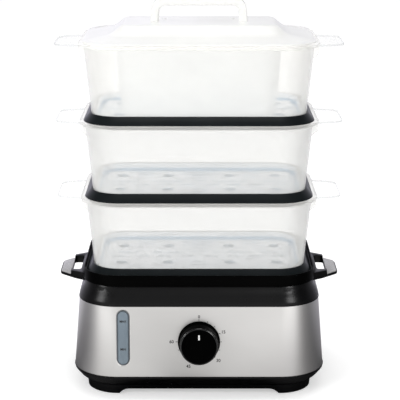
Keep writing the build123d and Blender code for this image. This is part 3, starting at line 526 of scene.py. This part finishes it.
PANEL_UP = Vector((0, sin(PANEL_SLOPE), cos(PANEL_SLOPE)))  # up along the front panel
ACROSS = Vector((1, 0, 0))


# ---------------------------------------------------------------- sizes and colours a user may change
class SteamerSizes(bpy.types.PropertyGroup):
    """Sizes that shape the visible pieces."""

    wall: bpy.props.FloatProperty(
        name="Basket wall",
        description="Thickness of a basket's wall",
        default=1.8 * MM,
        unit="LENGTH",
    )
    focal_length: bpy.props.FloatProperty(
        name="Focal length",
        description="Lens of the camera, in millimetres",
        default=123.3,
    )
    camera_pitch: bpy.props.FloatProperty(
        name="Camera pitch",
        description="How far the camera looks down",
        default=radians(14.3),
        subtype="ANGLE",
    )
    camera_distance: bpy.props.FloatProperty(
        name="Camera distance",
        description="From the camera to the middle of the object",
        default=1.483,
        unit="LENGTH",
    )


class SteamerLight(bpy.types.PropertyGroup):
    """Colours and strengths of the stage."""

    floor: bpy.props.FloatVectorProperty(
        name="Floor",
        description="Colour of the floor",
        subtype="COLOR",
        size=4,
        default=linear("#E8E8E8"),
    )
    world: bpy.props.FloatProperty(
        name="Room light",
        description="Strength of the even light from all round",
        default=0.69,
    )
    glow: bpy.props.FloatProperty(
        name="Floor glow",
        description="Added to the floor where it is seen, so that it shows white and lights nothing",
        default=0.45,
    )
    gloss: bpy.props.FloatProperty(
        name="Reflected floor",
        description="Strength of the tones that glossy surfaces see near the floor",
        default=1.68,
    )
    ceiling: bpy.props.FloatProperty(
        name="Reflected ceiling",
        description="Strength of the dim room that glossy surfaces see above, in front",
        default=0.66,
    )
    key: bpy.props.FloatProperty(
        name="Key lamp",
        description="Power of the soft box at the front left, in watts",
        default=7.4,
    )
    glint: bpy.props.FloatProperty(
        name="Glint strips",
        description="Power of the strips that only gloss sees, in watts",
        default=10.0,
    )


# ---------------------------------------------------------------- base
class STEAMER_OT_jacket(bpy.types.Operator):
    """Model the brushed steel jacket with its gauge slot and holes"""

    bl_idname = "steamer.jacket"
    bl_label = "Steel jacket"

    def execute(self, context):
        top = JACKET[0] - JACKET_DRAFT
        section = (
            (JACKET[0], COVER_TOP_Z, 0.35),
            (top, COLLAR_Z, 0.35),
            (top - SHEET, COLLAR_Z),
            (JACKET[0] - SHEET, COVER_TOP_Z),
        )
        jacket = go_round("steel_jacket", JACKET, section, corner_steps=24)
        # The slot's edge is pressed in: a shallow slope all round that narrows towards the inside
        slot_cut = new_piece("slot_cut")
        wider, above, depth, play, through = 1.5, 0.1, 0.6, 0.2, 6.0
        slot_outline(slot_cut, wider, above)
        pull(panel_normal() * -depth * MM)
        scale = (GAUGE_W + play) / (GAUGE_W + 2 * wider)
        scale_up = (GAUGE_H + play) / (GAUGE_H + 2 * wider)
        centre = panel_point(GAUGE_X, GAUGE_Z, above - depth) * MM
        bpy.ops.transform.resize(value=(scale, scale_up, scale_up), center_override=centre)
        pull(panel_normal() * -through * MM)
        tidy_shell()
        combine(jacket, slot_cut, "DIFFERENCE")
        for point, normal, radius in (
            (DIAL, panel_normal(), DIAL_HOLE_R),
            (panel_point(GLAND_X, GLAND_Z, side=1), panel_normal(1), GLAND_HOLE_R),
        ):
            clear_selection()
            bpy.ops.mesh.primitive_cylinder_add(
                vertices=48, radius=radius * MM, depth=2 * through * MM, location=point * MM
            )
            hole_cut = bpy.context.view_layer.objects.active
            hole_cut.rotation_mode = "QUATERNION"
            hole_cut.rotation_quaternion = normal.to_track_quat("Z", "Y")
            bpy.context.view_layer.update()
            combine(jacket, hole_cut, "DIFFERENCE")
        finish_shape(jacket, 12)  # a low angle, so that the pressed edge stays crisp
        hand_over(jacket, "base", "jacket_steel", "steel_wrap")
        return {"FINISHED"}


def slot_outline(piece, grow, out):
    """An upright slot-shaped face on the front panel round the gauge, larger by grow, and out from it."""
    half_w = (GAUGE_W / 2 + grow) * MM
    half_h = (GAUGE_H / 2 + grow) * MM
    centre = panel_point(GAUGE_X, GAUGE_Z, out) * MM
    bpy.ops.mesh.select_all(action="DESELECT")
    bpy.ops.mesh.primitive_plane_add(size=2 * half_w, location=centre, rotation=(pi / 2 - PANEL_SLOPE, 0, 0))
    shape = bmesh.from_edit_mesh(piece.data)
    for vertex in shape.verts:
        if vertex.select:
            rise = (vertex.co - centre).dot(PANEL_UP)
            vertex.co += PANEL_UP * (half_h - half_w) * (1 if rise > 0 else -1)
    bmesh.update_edit_mesh(piece.data)
    nearly_all = 0.999  # a corner a touch short of the half width leaves no doubled points
    bpy.ops.mesh.bevel(offset=half_w * nearly_all, segments=12, affect="VERTICES")


def slot_block(name, grow, out, depth):
    """A piece with the slot's outline, larger by grow, going a depth inwards from out over the panel."""
    piece = new_piece(name)
    slot_outline(piece, grow, out)
    pull(panel_normal() * -depth * MM)
    tidy_shell()
    return piece


def letters(name, text, size, spot, thick):
    """Text printed on the front panel with its middle at a spot, in mm, as a mesh."""
    clear_selection()
    bpy.ops.object.text_add(location=(0, 0, 0))
    word = bpy.context.view_layer.objects.active
    word.data.body = text
    word.data.size = size * MM
    word.data.extrude = thick / 2 * MM
    word.data.offset = 0.09 * MM  # makes the strokes a little bolder
    word.data.align_x = "CENTER"
    word.data.align_y = "CENTER"
    word.location = (spot + panel_normal() * thick / 2) * MM
    word.rotation_euler = (pi / 2 - PANEL_SLOPE, 0, 0)
    bpy.ops.object.convert(target="MESH")
    word = bpy.context.view_layer.objects.active
    bpy.ops.object.transform_apply(location=True, rotation=True, scale=True)
    word.name = name
    return word


class STEAMER_OT_gauge(bpy.types.Operator):
    """Model the water gauge: its pane, seal and level marks"""

    bl_idname = "steamer.gauge"
    bl_label = "Water gauge"

    def execute(self, context):
        back = 3.2  # how far both reach in behind the panel's face
        for name, grow, thick, slot, node in (
            ("gauge_seal", 0.0, 3.5, "seal_grey", "gauge_gasket"),
            ("gauge_pane", -1.3, 4.0, "gauge_clear", "gauge_window"),
        ):
            piece = slot_block(name, grow, thick - back, thick)
            if name == "gauge_seal":
                combine(piece, slot_block("opening", -1.25, 3.0, 8.0), "DIFFERENCE")
            finish_shape(piece, 35, 0.5)
            hand_over(piece, "base", slot, node)
        for word, height in (("MAX", 84.0), ("MIN", 54.2)):
            mark = letters(f"gauge_{word.lower()}", word, 3.2, panel_point(GAUGE_X, height, 0.78), 0.1)
            hand_over(mark, "base", "seal_grey", ink="dial_ink")
        return {"FINISHED"}


class STEAMER_OT_dial(bpy.types.Operator):
    """Model the timer's knob, bezel, pointer and printed scale"""

    bl_idname = "steamer.dial"
    bl_label = "Timer dial"

    def execute(self, context):
        normal = panel_normal()
        bore = 17.4
        section = (
            (bore, 0.0),
            (BEZEL_R, 0.0),
            (BEZEL_R, 2.6, 0.5),
            (BEZEL_R - 0.6, 2.6, 0.4),
            (BEZEL_R - 0.8, 0.9),
            (bore, 0.9),
        )
        bezel = turn("dial_bezel", section, DIAL, normal, ACROSS)
        finish_shape(bezel, 40)
        hand_over(bezel, "base", "knob_black", "knob_bezel")

        # Face, rim and skirt outside; wall, roof, hub and the hub's bore inside
        face, edge, skirt, roof, hub, bore = 19.0, 20.0, 1.4, 16.6, 5.5, 3.1
        section = (
            (0.0, face),
            (15.0, face, 0.4),
            (15.8, edge, 0.6),
            (19.6, edge, 1.4),
            (20.2, 5.4, 0.5),
            (20.9, 4.6, 0.4),
            (20.9, skirt, 0.4),
            (18.5, skirt),
            (17.2, roof),
            (hub, roof),
            (hub, 3.4),
            (bore, 3.4),
            (bore, 13.4),
            (0.0, 13.4),
        )
        knob = turn("timer_knob", section, DIAL, normal, ACROSS, closed=False)
        finish_shape(knob, 40)
        paint(knob, 1, lambda f: self.on_edge(f.center / MM - DIAL, normal))
        hand_over(knob, "timer_knob", "knob_black", "knob", more=("knob_edge",))

        pointer = new_piece("pointer_inlay")
        spot = (DIAL + normal * KNOB_FACE + PANEL_UP * 9.5) * MM
        add_box(spot, (1.7, 1.0, 5.4), (-PANEL_SLOPE, 0, 0))
        bpy.ops.mesh.bevel(offset=0.25 * MM, segments=3)
        finish_shape(pointer)
        hand_over(pointer, "timer_knob", "pointer_white", "knob_pointer")
        self.print_scale(normal)
        return {"FINISHED"}

    def on_edge(self, spot, normal):
        """Whether a spot, counted from the dial's middle, lies on the rounding round the knob's face."""
        out = spot.dot(normal)
        return out > 18.6 and (spot - normal * out).length > 18.2

    def print_scale(self, normal):
        """Ticks every five minutes and a number every fifteen, clockwise from the top."""
        five_minutes = radians(270 / 12)
        scale = new_piece("dial_scale")
        for step in range(13):
            angle = five_minutes * step
            reach = PANEL_UP * cos(angle) + ACROSS * sin(angle)
            length = 1.9 if step % 3 == 0 else 1.3
            spot = (DIAL + normal * INK / 2 + reach * (BEZEL_R + 0.4 + length / 2)) * MM
            add_box(spot, (0.6, INK, length))
            for value, axis in ((angle, "Y"), (PANEL_SLOPE, "X")):
                bpy.ops.transform.rotate(value=value, orient_axis=axis, center_override=spot)
        finish_shape(scale)
        hand_over(scale, "base", "knob_black", ink="dial_ink")
        for minutes, distance in ((0, 26.6), (15, 27.4), (30, 28.6), (45, 28.6), (60, 28.6)):
            angle = five_minutes * minutes / 5
            reach = PANEL_UP * cos(angle) + ACROSS * sin(angle)
            number = letters(f"dial_number_{minutes}", str(minutes), 4.6, DIAL + reach * distance, INK)
            hand_over(number, "base", "knob_black", ink="dial_ink")


class STEAMER_OT_base_shells(bpy.types.Operator):
    """Round and finish the black housing, the bottom cover and the handle pads"""

    bl_idname = "steamer.base_shells"
    bl_label = "Base shells"

    def execute(self, context):
        for node, name, bevel in (
            ("top_housing", "housing_collar", 0.5),
            ("front_shell", "front_moulding", 0.3),
            ("inner_shell", "rear_moulding", 0.3),
            ("water_tank", "tank_moulding", 0.4),
            ("bottom_cover", "bottom_shell", 0.6),
            ("foot_pads", "rubber_feet", 0.2),
            ("handle_inlay_left", "grip_pad_left", 0.8),
            ("handle_inlay_right", "grip_pad_right", 0.8),
            ("cord_gland", "cord_bush", 0.4),
        ):
            finish_from_frame(node, name, bevel)
        self.lip()
        return {"FINISHED"}

    def lip(self):
        """The cover's full lip, which the jacket stands on."""
        out, top = JACKET[0], COVER_TOP_Z - 0.1
        section = (
            (out + 0.3, top, 0.3),
            (out + 0.3, top - 2.1, 1.2),
            (out - 7.0, top - 10.9, 3.0),
            (out - 13.0, top - 14.3),
            (out - 15.0, top - 14.3),
            (out - 15.0, top),
        )
        lip = go_round("cover_lip", JACKET, section, corner_steps=24)
        finish_shape(lip)
        hand_over(lip, "base", "housing_black")


class STEAMER_OT_inner_works(bpy.types.Operator):
    """Finish the timer, heater and wiring inside the base"""

    bl_idname = "steamer.inner_works"
    bl_label = "Inner works"

    def execute(self, context):
        for node in (
            "timer_case",
            "timer_bell",
            "timer_screws",
            "timer_shaft",
            "heater_plate",
            "heater_element",
            "heater_seal",
            "heater_clamp",
            "heater_screws",
            "thermostat",
            "thermal_fuse",
            "terminal_block",
            "wiring",
            "cover_screws",
        ):
            finish_from_frame(node, f"{node}_finished", 0.2)
        finish_from_frame("turbo_ring", "turbo_sleeve", 0.5)
        finish_from_frame("drip_tray", "juice_tray", 0.5, ink="tray_black")
        return {"FINISHED"}


# ---------------------------------------------------------------- tiers
class STEAMER_OT_tiers(bpy.types.Operator):
    """Model the three tiers: black ring, perforated floor and clear basket"""

    bl_idname = "steamer.tiers"
    bl_label = "Tiers"

    def execute(self, context):
        first = {"ring": self.ring(), "floor": self.floor(), "basket": self.basket(context)}
        for number, seat in enumerate(SEATS, start=1):
            for part, slot, more in (
                ("ring", "tier_black", ()),
                ("floor", "floor_blue", ("floor_rim_blue", "floor_painted_shade")),
                ("basket", "basket_clear", ("wing_clear", "clear_edge")),
            ):
                piece = first[part].copy()
                piece.data = first[part].data.copy()
                piece.name = f"tier_{part}_{number}"
                bpy.context.scene.collection.objects.link(piece)
                piece.data.transform(Matrix.Translation((0, 0, seat * MM)))
                hand_over(piece, f"tier_{number}", slot, f"{part}_{number}", more=more)
        for piece in first.values():
            bpy.data.objects.remove(piece, do_unlink=True)
        return {"FINISHED"}

    def ring(self):
        """Black ring, its height counted from the plane that it rests on."""
        top, shelf = 8.4, -1.5
        section = (
            (107.0, -SKIRT),
            (115.0, -SKIRT, 0.6),
            (115.0, 0.0),
            (RING[0], 0.0, 0.9),
            (112.6, top, 0.7),
            (111.4, top),
            (111.4, shelf),
            (107.0, shelf),
        )
        ring = go_round("ring", RING, section, corner_steps=18)
        return finish_shape(ring)

    def basket(self, context):
        """Clear basket: drafted wall, stacking rim, and a wing with two gussets at each end."""
        wall = context.scene.steamer_sizes.wall / MM
        rim_z, rim_under, rim_x = PITCH, PITCH - 3.7, 123.5
        foot, foot_x, top_x = 0.3, BASKET[0], BASKET[0] + 7.6
        section = (
            (foot_x, foot, 0.6),
            (top_x, rim_under, 1.2),
            (rim_x, rim_under, 1.2),
            (rim_x, rim_z, 0.8),
            (top_x - wall, rim_z, 0.8),
            (foot_x - wall, foot),
        )
        basket = go_round("basket", BASKET, section, corner_steps=18)
        for side in (1, -1):
            combine(basket, self.wing(side), "UNION")
            for y in (-42.0, 42.0):
                combine(basket, self.gusset(side, y, rim_under), "UNION")
        finish_shape(basket)
        beyond = (rim_x + 0.2) * MM
        paint(basket, 1, lambda f: abs(f.center.x) > beyond)
        paint(basket, 2, lambda f: abs(f.center.x) > beyond and abs(f.normal.z) < 0.5)
        return basket

    def wing(self, side):
        """Thin carrying plate with a rounded plan."""
        wing = new_piece("wing")
        root_x, tip_x, root_y, tip_y = 117.0, 150.0, 42.0, 33.0
        top, thick, corner = 76.8, 2.0, 9.0
        middle = Vector((side * (root_x + tip_x) / 2, BODY_Y, top)) * MM
        bpy.ops.mesh.primitive_plane_add(size=(tip_x - root_x) * MM, location=middle)
        bpy.ops.transform.resize(value=(1, 2 * root_y / (tip_x - root_x), 1), center_override=middle)
        tip = side * tip_x * MM
        pick(wing, "verts", lambda v: abs(v.co.x - tip) < 0.1 * MM)
        bpy.ops.transform.resize(value=(1, tip_y / root_y, 1), center_override=middle)
        bpy.ops.mesh.bevel(offset=corner * MM, segments=8, affect="VERTICES")
        pick(wing, "faces", lambda f: True)
        pull((0, 0, -thick * MM))
        tidy_shell()
        return wing

    def gusset(self, side, y, rim_under):
        """Upright web under the rim that carries the wing's load into the wall."""
        outline = (
            (116.4, rim_under + 1.0),
            (123.2, rim_under + 1.0),
            (123.2, rim_under - 8.6),
            (115.4, rim_under - 15.0),
        )
        return slab("gusset", outline, y, 1.8, side)

    def floor(self):
        """Perforated floor: a rim, eight egg seats with a vent each, and slots between them."""
        under, top, rim_top, blue_to = -1.5, 0.3, 8.6, 3.4
        rim, inner = 107.4, 85.0
        section = (
            (BASKET[0], under, 0.5),
            (BASKET[0], top, 0.5),
            (rim, top),
            (rim, rim_top, 0.5),
            (rim - 1.5, rim_top, 0.5),
            (rim - 1.5, blue_to),
            (rim - 1.5, top, 1.2),
            (inner, top),
            (inner, under),
        )
        floor = go_round("floor", BASKET, section, corner_steps=12)
        plate = new_piece("plate")
        add_box((0, BODY_Y * MM, (under + top) / 2 * MM), (190, 130, top - under))
        combine(floor, plate, "UNION")
        seat = top + 3.0
        # An egg seat has a low foot, a block on it, a dish in its top and a hollow from below
        for width, radius, low, high, operation in (
            (35.4, 5.2, under - 0.5, top + 0.7, "UNION"),
            (34.0, 4.5, under - 3.8, seat, "UNION"),
            (29.0, 4.0, seat - 0.4, seat + 1, "DIFFERENCE"),
            (31.2, 3.4, under - 5, seat - 1.8, "DIFFERENCE"),
        ):
            combine(floor, self.egg_blocks(width, radius, low, high), operation)
        combine(floor, self.spouts(VENT_R + 1.2, under - 3.6, seat - 1.0), "UNION")
        combine(floor, self.vents(), "DIFFERENCE")
        finish_shape(floor, bevel=0.25)
        # Painted shade on the upright faces at the seats' feet and inside the vents
        paint(floor, 2, lambda f: abs(f.normal.z) < 0.6 and self.is_outline(f.center / MM, top + 0.8))
        paint(floor, 1, lambda f: self.is_border(f.center / MM, blue_to + 0.1))
        return floor

    def is_outline(self, spot, foot_top):
        """Whether a spot, in mm, is on the foot of an egg seat or inside a round vent: the places that get
        painted shade.
        """
        near = (Vector((spot.x - x, spot.y - BODY_Y - y)).length for x, y in EGGS)
        return spot.z < foot_top or min(near) < VENT_R + 0.4

    def is_border(self, spot, top):
        """Whether a spot, in mm, is in the border round the egg seats, up to a height."""
        half_x, half_y = 100.6, 49.1
        return spot.z < top and (abs(spot.x) > half_x or abs(spot.y - BODY_Y) > half_y)

    def egg_blocks(self, width, radius, low, high):
        """Eight rounded square blocks at the egg seats."""
        blocks = new_piece("blocks")
        for x, y in EGGS:
            spot = (x * MM, (BODY_Y + y) * MM, low * MM)
            bpy.ops.mesh.select_mode(type="VERT")
            bpy.ops.mesh.select_all(action="DESELECT")
            bpy.ops.mesh.primitive_plane_add(size=width * MM, location=spot)
            bpy.ops.mesh.bevel(offset=radius * MM, segments=6, affect="VERTICES")
            pull((0, 0, (high - low) * MM))
        tidy_shell()
        return blocks

    def spouts(self, radius, low, high):
        """Eight upright cylinders at the egg seats."""
        spouts = new_piece("spouts")
        for x, y in EGGS:
            spot = (x * MM, (BODY_Y + y) * MM, (low + high) / 2 * MM)
            add_rod(spot, radius, high - low, sides=32)
        return spouts

    def vents(self):
        """Round vents in the egg seats and rows of slots between them."""
        deep = 14.0
        vents = self.spouts(VENT_R, -deep / 2, deep / 2)
        slots = [(25.0 * step - 87.5, 0.0) for step in range(8)]
        slots += [(0.0, y + step) for y in EGG_ROWS for step in (-12.0, 0.0, 12.0)]
        for x, y in slots:
            add_box(Vector((x, BODY_Y + y, 0)) * MM, (16, 3.2, deep))
        return vents


# ---------------------------------------------------------------- bowl and lid
class STEAMER_OT_bowl(bpy.types.Operator):
    """Model the rice bowl that stands in the top basket"""

    bl_idname = "steamer.bowl"
    bl_label = "Rice bowl"

    def execute(self, context):
        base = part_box("rice_bowl")[0].z / MM
        wall, height, rim_x = 2.0, 75.0, 92.0
        section = (
            (68.0, 0.0),
            (77.0, 0.0, 2.0),
            (80.5, 4.0, 2.5),
            (85.5, height - wall, 1.2),
            (rim_x, height - wall, 0.8),
            (rim_x, height, 0.8),
            (83.5, height, 1.0),
            (78.5, 5.0, 2.0),
            (75.0, wall, 2.0),
            (68.0, wall),
        )
        bowl = go_round("bowl", BOWL, section, rise=base, closed=False)
        finish_shape(bowl)
        hand_over(bowl, "bowl", "bowl_white", "rice_bowl")
        return {"FINISHED"}


class STEAMER_OT_lid(bpy.types.Operator):
    """Model the lid and its loop handle"""

    bl_idname = "steamer.lid"
    bl_label = "Lid"

    def execute(self, context):
        flange = (
            (113.0, -SKIRT),
            (115.0, -SKIRT, 0.5),
            (115.0, 0.0),
            (RING[0], 0.0, 0.7),
            (RING[0], 2.0, 0.7),
            (113.0, 2.6),
        )
        lid = go_round("steam_lid", RING, flange, rise=LID_SEAT, corner_steps=18)
        section = (
            (74.0, CROWN),
            (79.5, CROWN, 2.5),
            (91.0, 6.8, 5.0),
            (DOME[0], 2.2),
            (DOME[0], 0.4),
            (90.4, 4.9, 5.0),
            (78.8, CROWN - 2, 2.5),
            (74.0, CROWN - 2),
        )
        dome = go_round("dome", DOME, section, rise=LID_SEAT, closed=False, corner_steps=18)
        combine(lid, dome, "UNION")
        vents = new_piece("vents")
        for x in (-36.0, 36.0):
            add_rod(Vector((x, BODY_Y + 18, LID_SEAT + 15)) * MM, 2.5, 12)
        combine(lid, vents, "DIFFERENCE")
        finish_shape(lid)
        hand_over(lid, "cover", "lid_white", "lid")
        self.handle()
        return {"FINISHED"}

    def handle(self):
        """Arched loop with rounded edges, open for the fingers."""
        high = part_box("lid_handle")[1].z / MM
        foot = LID_SEAT + CROWN
        outer = (
            (-50.7, foot - 0.6),
            (50.7, foot - 0.6),
            (48.6, high, 12.0),
            (-48.6, high, 12.0),
        )
        inner = (
            (-42.3, foot - 3),
            (42.3, foot - 3),
            (41.0, high - 8.4, 6.0),
            (-41.0, high - 8.4, 6.0),
        )
        handle = slab("lid_grip", outer, 0, 22.0, steps=8)
        combine(handle, slab("opening", inner, 0, 60.0, steps=8), "DIFFERENCE")
        finish_shape(handle, bevel=2.0, bevel_steps=3)
        hand_over(handle, "cover", "lid_white", "lid_handle")


# ---------------------------------------------------------------- stage
# The tone that gloss sees by azimuth, in degrees to the right of straight ahead: dark cards at both sides
# draw the jacket's corners
SURROUND = (
    (-180, "#BFBDCB"), (-150, "#BFBDCB"), (-122, "#B3B2B8"), (-102, "#737276"), (-82, "#6A696C"),
    (-66, "#949395"), (-50, "#D8D7D7"), (-17, "#E2E2E2"), (-12, "#BABABA"), (-4, "#B4B3B3"),
    (5, "#C8C7C7"), (12, "#E1E1E1"), (17, "#DAD9D9"), (44, "#CDCCCD"), (54, "#A09F9F"),
    (61, "#7A797A"), (70, "#686768"), (88, "#535355"), (104, "#767579"), (150, "#ABAAB3"),
)


class STEAMER_OT_stage(bpy.types.Operator):
    """Lay the pale floor, hang the lamps and set up the camera"""

    bl_idname = "steamer.stage"
    bl_label = "Stage"

    def execute(self, context):
        self.floor(context)
        self.room(context)
        self.lamps(context)
        self.camera(context)
        context.scene.view_settings.view_transform = "Standard"
        return {"FINISHED"}

    def floor(self, context):
        """Pale paper that shows white and keeps the shadow; gloss sees its tones round the object."""
        clear_selection()
        bpy.ops.mesh.primitive_plane_add(size=14.0, location=(0, 0, 0))
        floor = bpy.context.view_layer.objects.active
        floor.name = "studio_floor"
        dull = {"Roughness": 0.9, "Specular IOR Level": 0.0}
        finish, tree, shader, place = new_finish("studio_paper", dull)
        finish.cycles.emission_sampling = "NONE"
        shader.inputs["Base Color"].default_value = context.scene.steamer_light.floor
        glow = add_node(tree, "ShaderNodeEmission", {"Strength": context.scene.steamer_light.glow})
        both = add_node(tree, "ShaderNodeAddShader", i0=shader.outputs["BSDF"], i1=glow.outputs["Emission"])
        paper = self.mixed(tree, self.seen(tree), shader.outputs["BSDF"], both.outputs["Shader"])
        # Close to the base, gloss sees a painted shadow: the paper's tones fade to dark towards the base's
        # outline
        reach = stretched(tree, place, (JACKET[0], JACKET[1], 1.0))
        reach = add_node(tree, "ShaderNodeVectorMath", {"operation": "LENGTH"}, i0=reach).outputs["Value"]
        gloss = context.scene.steamer_light.gloss
        shadow_ends, paper_ends, near_share = 1.5, 7.0, 0.62
        near = spread(tree, reach, 0.0, near_share * gloss, 1.0, shadow_ends)
        far = spread(tree, reach, 0.0, (1 - near_share) * gloss, shadow_ends, paper_ends)
        strength = calculate(tree, "ADD", near, far)
        tone = add_node(tree, "ShaderNodeEmission", Color=self.surround(tree, place), Strength=strength)
        path = add_node(tree, "ShaderNodeLightPath").outputs
        mix = self.mixed(tree, path["Is Glossy Ray"], paper, tone.outputs["Emission"])
        out = next(node for node in tree.nodes if node.type == "OUTPUT_MATERIAL")
        tree.links.new(mix, out.inputs["Surface"])
        floor.data.materials.append(finish)

    def mixed(self, tree, share, first, second):
        """Two shaders mixed, all the first where the share is 0."""
        return add_node(tree, "ShaderNodeMixShader", i0=share, i1=first, i2=second).outputs["Shader"]

    def seen(self, tree):
        """1 for what the camera sees straight or through clear plastic, 0 for light on the object."""
        path = add_node(tree, "ShaderNodeLightPath").outputs
        return calculate(tree, "MAXIMUM", path["Is Camera Ray"], path["Is Transmission Ray"])

    def surround(self, tree, place):
        """The tone that gloss sees in a direction round the object: white in front, dark at the sides."""
        axes = add_node(tree, "ShaderNodeSeparateXYZ", Vector=place).outputs
        azimuth = calculate(tree, "ARCTAN2", axes["X"], calculate(tree, "MULTIPLY", axes["Y"], -1.0))
        ramp = add_node(tree, "ShaderNodeValToRGB", Fac=spread(tree, azimuth, 0.0, 1.0, -pi, pi))
        points = ramp.color_ramp.elements
        points.remove(points[-1])
        for number, (degrees, tone) in enumerate(SURROUND):
            point = points.new(degrees / 360 + 0.5) if number else points[0]
            point.color = linear(tone)
        return ramp.outputs["Color"]

    def room(self, context):
        """Even light. The camera sees plain white, gloss sees tones below and a dim room above."""
        world = bpy.data.worlds.new("studio_room")
        context.scene.world = world
        world.use_nodes = True
        tree = world.node_tree
        tree.nodes.clear()
        light = context.scene.steamer_light
        even, white, tones, dim = (
            add_node(tree, "ShaderNodeBackground", {"Color": (1, 1, 1, 1), "Strength": strength})
            for strength in (light.world, 1.0, light.gloss, 0.0)
        )
        place = add_node(tree, "ShaderNodeTexCoord").outputs["Generated"]
        tree.links.new(self.surround(tree, place), tones.inputs["Color"])
        axes = add_node(tree, "ShaderNodeSeparateXYZ", Vector=place).outputs
        # Directions are of length 1: the room is dim above, and less so far out in front
        fade = spread(tree, axes["Y"], light.ceiling, 0.08 * light.ceiling, -0.8, -0.45)
        tree.links.new(fade, dim.inputs["Strength"])
        # The paper hangs up behind the object, and ends at the floor in front
        front_edge, rear_edge, softness = 0.06, 0.45, 0.12
        edge = spread(tree, axes["Y"], front_edge, rear_edge, -0.3, 0.3)
        above = spread(tree, calculate(tree, "SUBTRACT", axes["Z"], edge), 0.0, 1.0, 0.0, softness)
        wall = self.mixed(tree, above, tones.outputs[0], dim.outputs[0])
        seen = self.mixed(tree, self.seen(tree), even.outputs[0], white.outputs[0])
        path = add_node(tree, "ShaderNodeLightPath").outputs
        add_node(tree, "ShaderNodeOutputWorld", Surface=self.mixed(tree, path["Is Glossy Ray"], seen, wall))

    def lamps(self, context):
        """Two soft boxes in front, a wide one above, and three strips that only gloss sees."""
        key = context.scene.steamer_light.key
        glint = context.scene.steamer_light.glint
        aim = Vector((0, 0, 0.11))
        # Azimuth in degrees to the right of straight ahead, lengths in metres
        for name, azimuth, distance, height, size, power in (
            ("soft_box_left", -40, 1.6, 0.85, (0.34, 1.0), key),
            ("soft_box_right", 17, 1.9, 0.95, (0.30, 1.0), key * 0.6),
            ("soft_box_above", 180, 0.2, 2.0, (1.4, 1.4), key),
            ("strip_left", -55, 1.5, 0.82, (0.5, 0.55), glint),
            ("strip_right", 36, 1.5, 0.82, (0.45, 0.55), glint * 0.9),
            ("strip_above", 0, 0.2, 1.9, (0.8, 0.4), glint),
        ):
            light = bpy.data.lights.new(name, "AREA")
            light.shape = "RECTANGLE"
            light.size, light.size_y = size
            light.energy = power
            lamp = bpy.data.objects.new(name, light)
            turned = radians(azimuth)
            lamp.location = (sin(turned) * distance, -cos(turned) * distance, height)
            lamp.rotation_mode = "QUATERNION"
            lamp.rotation_quaternion = (aim - lamp.location).to_track_quat("-Z", "Y")
            lamp.visible_camera = False
            lamp.visible_diffuse = not name.startswith("strip")
            lamp.visible_glossy = not lamp.visible_diffuse
            context.scene.collection.objects.link(lamp)

    def camera(self, context):
        """A long lens in front, looking down a little at the object's middle."""
        sizes = context.scene.steamer_sizes
        lens = bpy.data.cameras.new("camera")
        lens.lens = sizes.focal_length
        lens.sensor_width = 36.0
        lens.clip_start, lens.clip_end = 0.05, 40.0
        camera = bpy.data.objects.new("camera", lens)
        look = Vector((0, cos(sizes.camera_pitch), -sin(sizes.camera_pitch)))
        aim_z = 191.13
        aim = Vector((0, BODY_Y, aim_z)) * MM
        camera.location = aim - look * sizes.camera_distance
        camera.rotation_mode = "QUATERNION"
        camera.rotation_quaternion = look.to_track_quat("-Z", "Y")
        frame_width, middle_x = 400.0, 199.0  # the picture's width and the object's middle, in pixels
        lens.shift_x = (frame_width / 2 - middle_x) / frame_width
        context.scene.collection.objects.link(camera)
        context.scene.camera = camera


class STEAMER_PT_pieces(bpy.types.Panel):
    """Lists the steps that build the steamer's looks"""

    bl_label = "Steamer"
    bl_space_type = "VIEW_3D"
    bl_region_type = "UI"
    bl_category = "Steamer"

    def draw(self, context):
        for step in STEPS:
            self.layout.operator(step.bl_idname)
        for group in (context.scene.steamer_sizes, context.scene.steamer_light):
            for name in group.__annotations__:
                self.layout.prop(group, name)


STEPS = (
    STEAMER_OT_jacket,
    STEAMER_OT_gauge,
    STEAMER_OT_dial,
    STEAMER_OT_base_shells,
    STEAMER_OT_inner_works,
    STEAMER_OT_tiers,
    STEAMER_OT_bowl,
    STEAMER_OT_lid,
    STEAMER_OT_stage,
)
CLASSES = (SteamerSizes, SteamerLight) + STEPS + (STEAMER_PT_pieces,)


def register():
    for cls in CLASSES:
        bpy.utils.register_class(cls)
    bpy.types.Scene.steamer_sizes = bpy.props.PointerProperty(type=SteamerSizes)
    bpy.types.Scene.steamer_light = bpy.props.PointerProperty(type=SteamerLight)


def unregister():
    del bpy.types.Scene.steamer_light
    del bpy.types.Scene.steamer_sizes
    for cls in reversed(CLASSES):
        bpy.utils.unregister_class(cls)


def main():
    register()
    FINISHES.update(finishes())
    for step in STEPS:
        group, name = step.bl_idname.split(".")
        getattr(getattr(bpy.ops, group), name)()
    clear_selection()


if __name__ == "__main__":
    main()
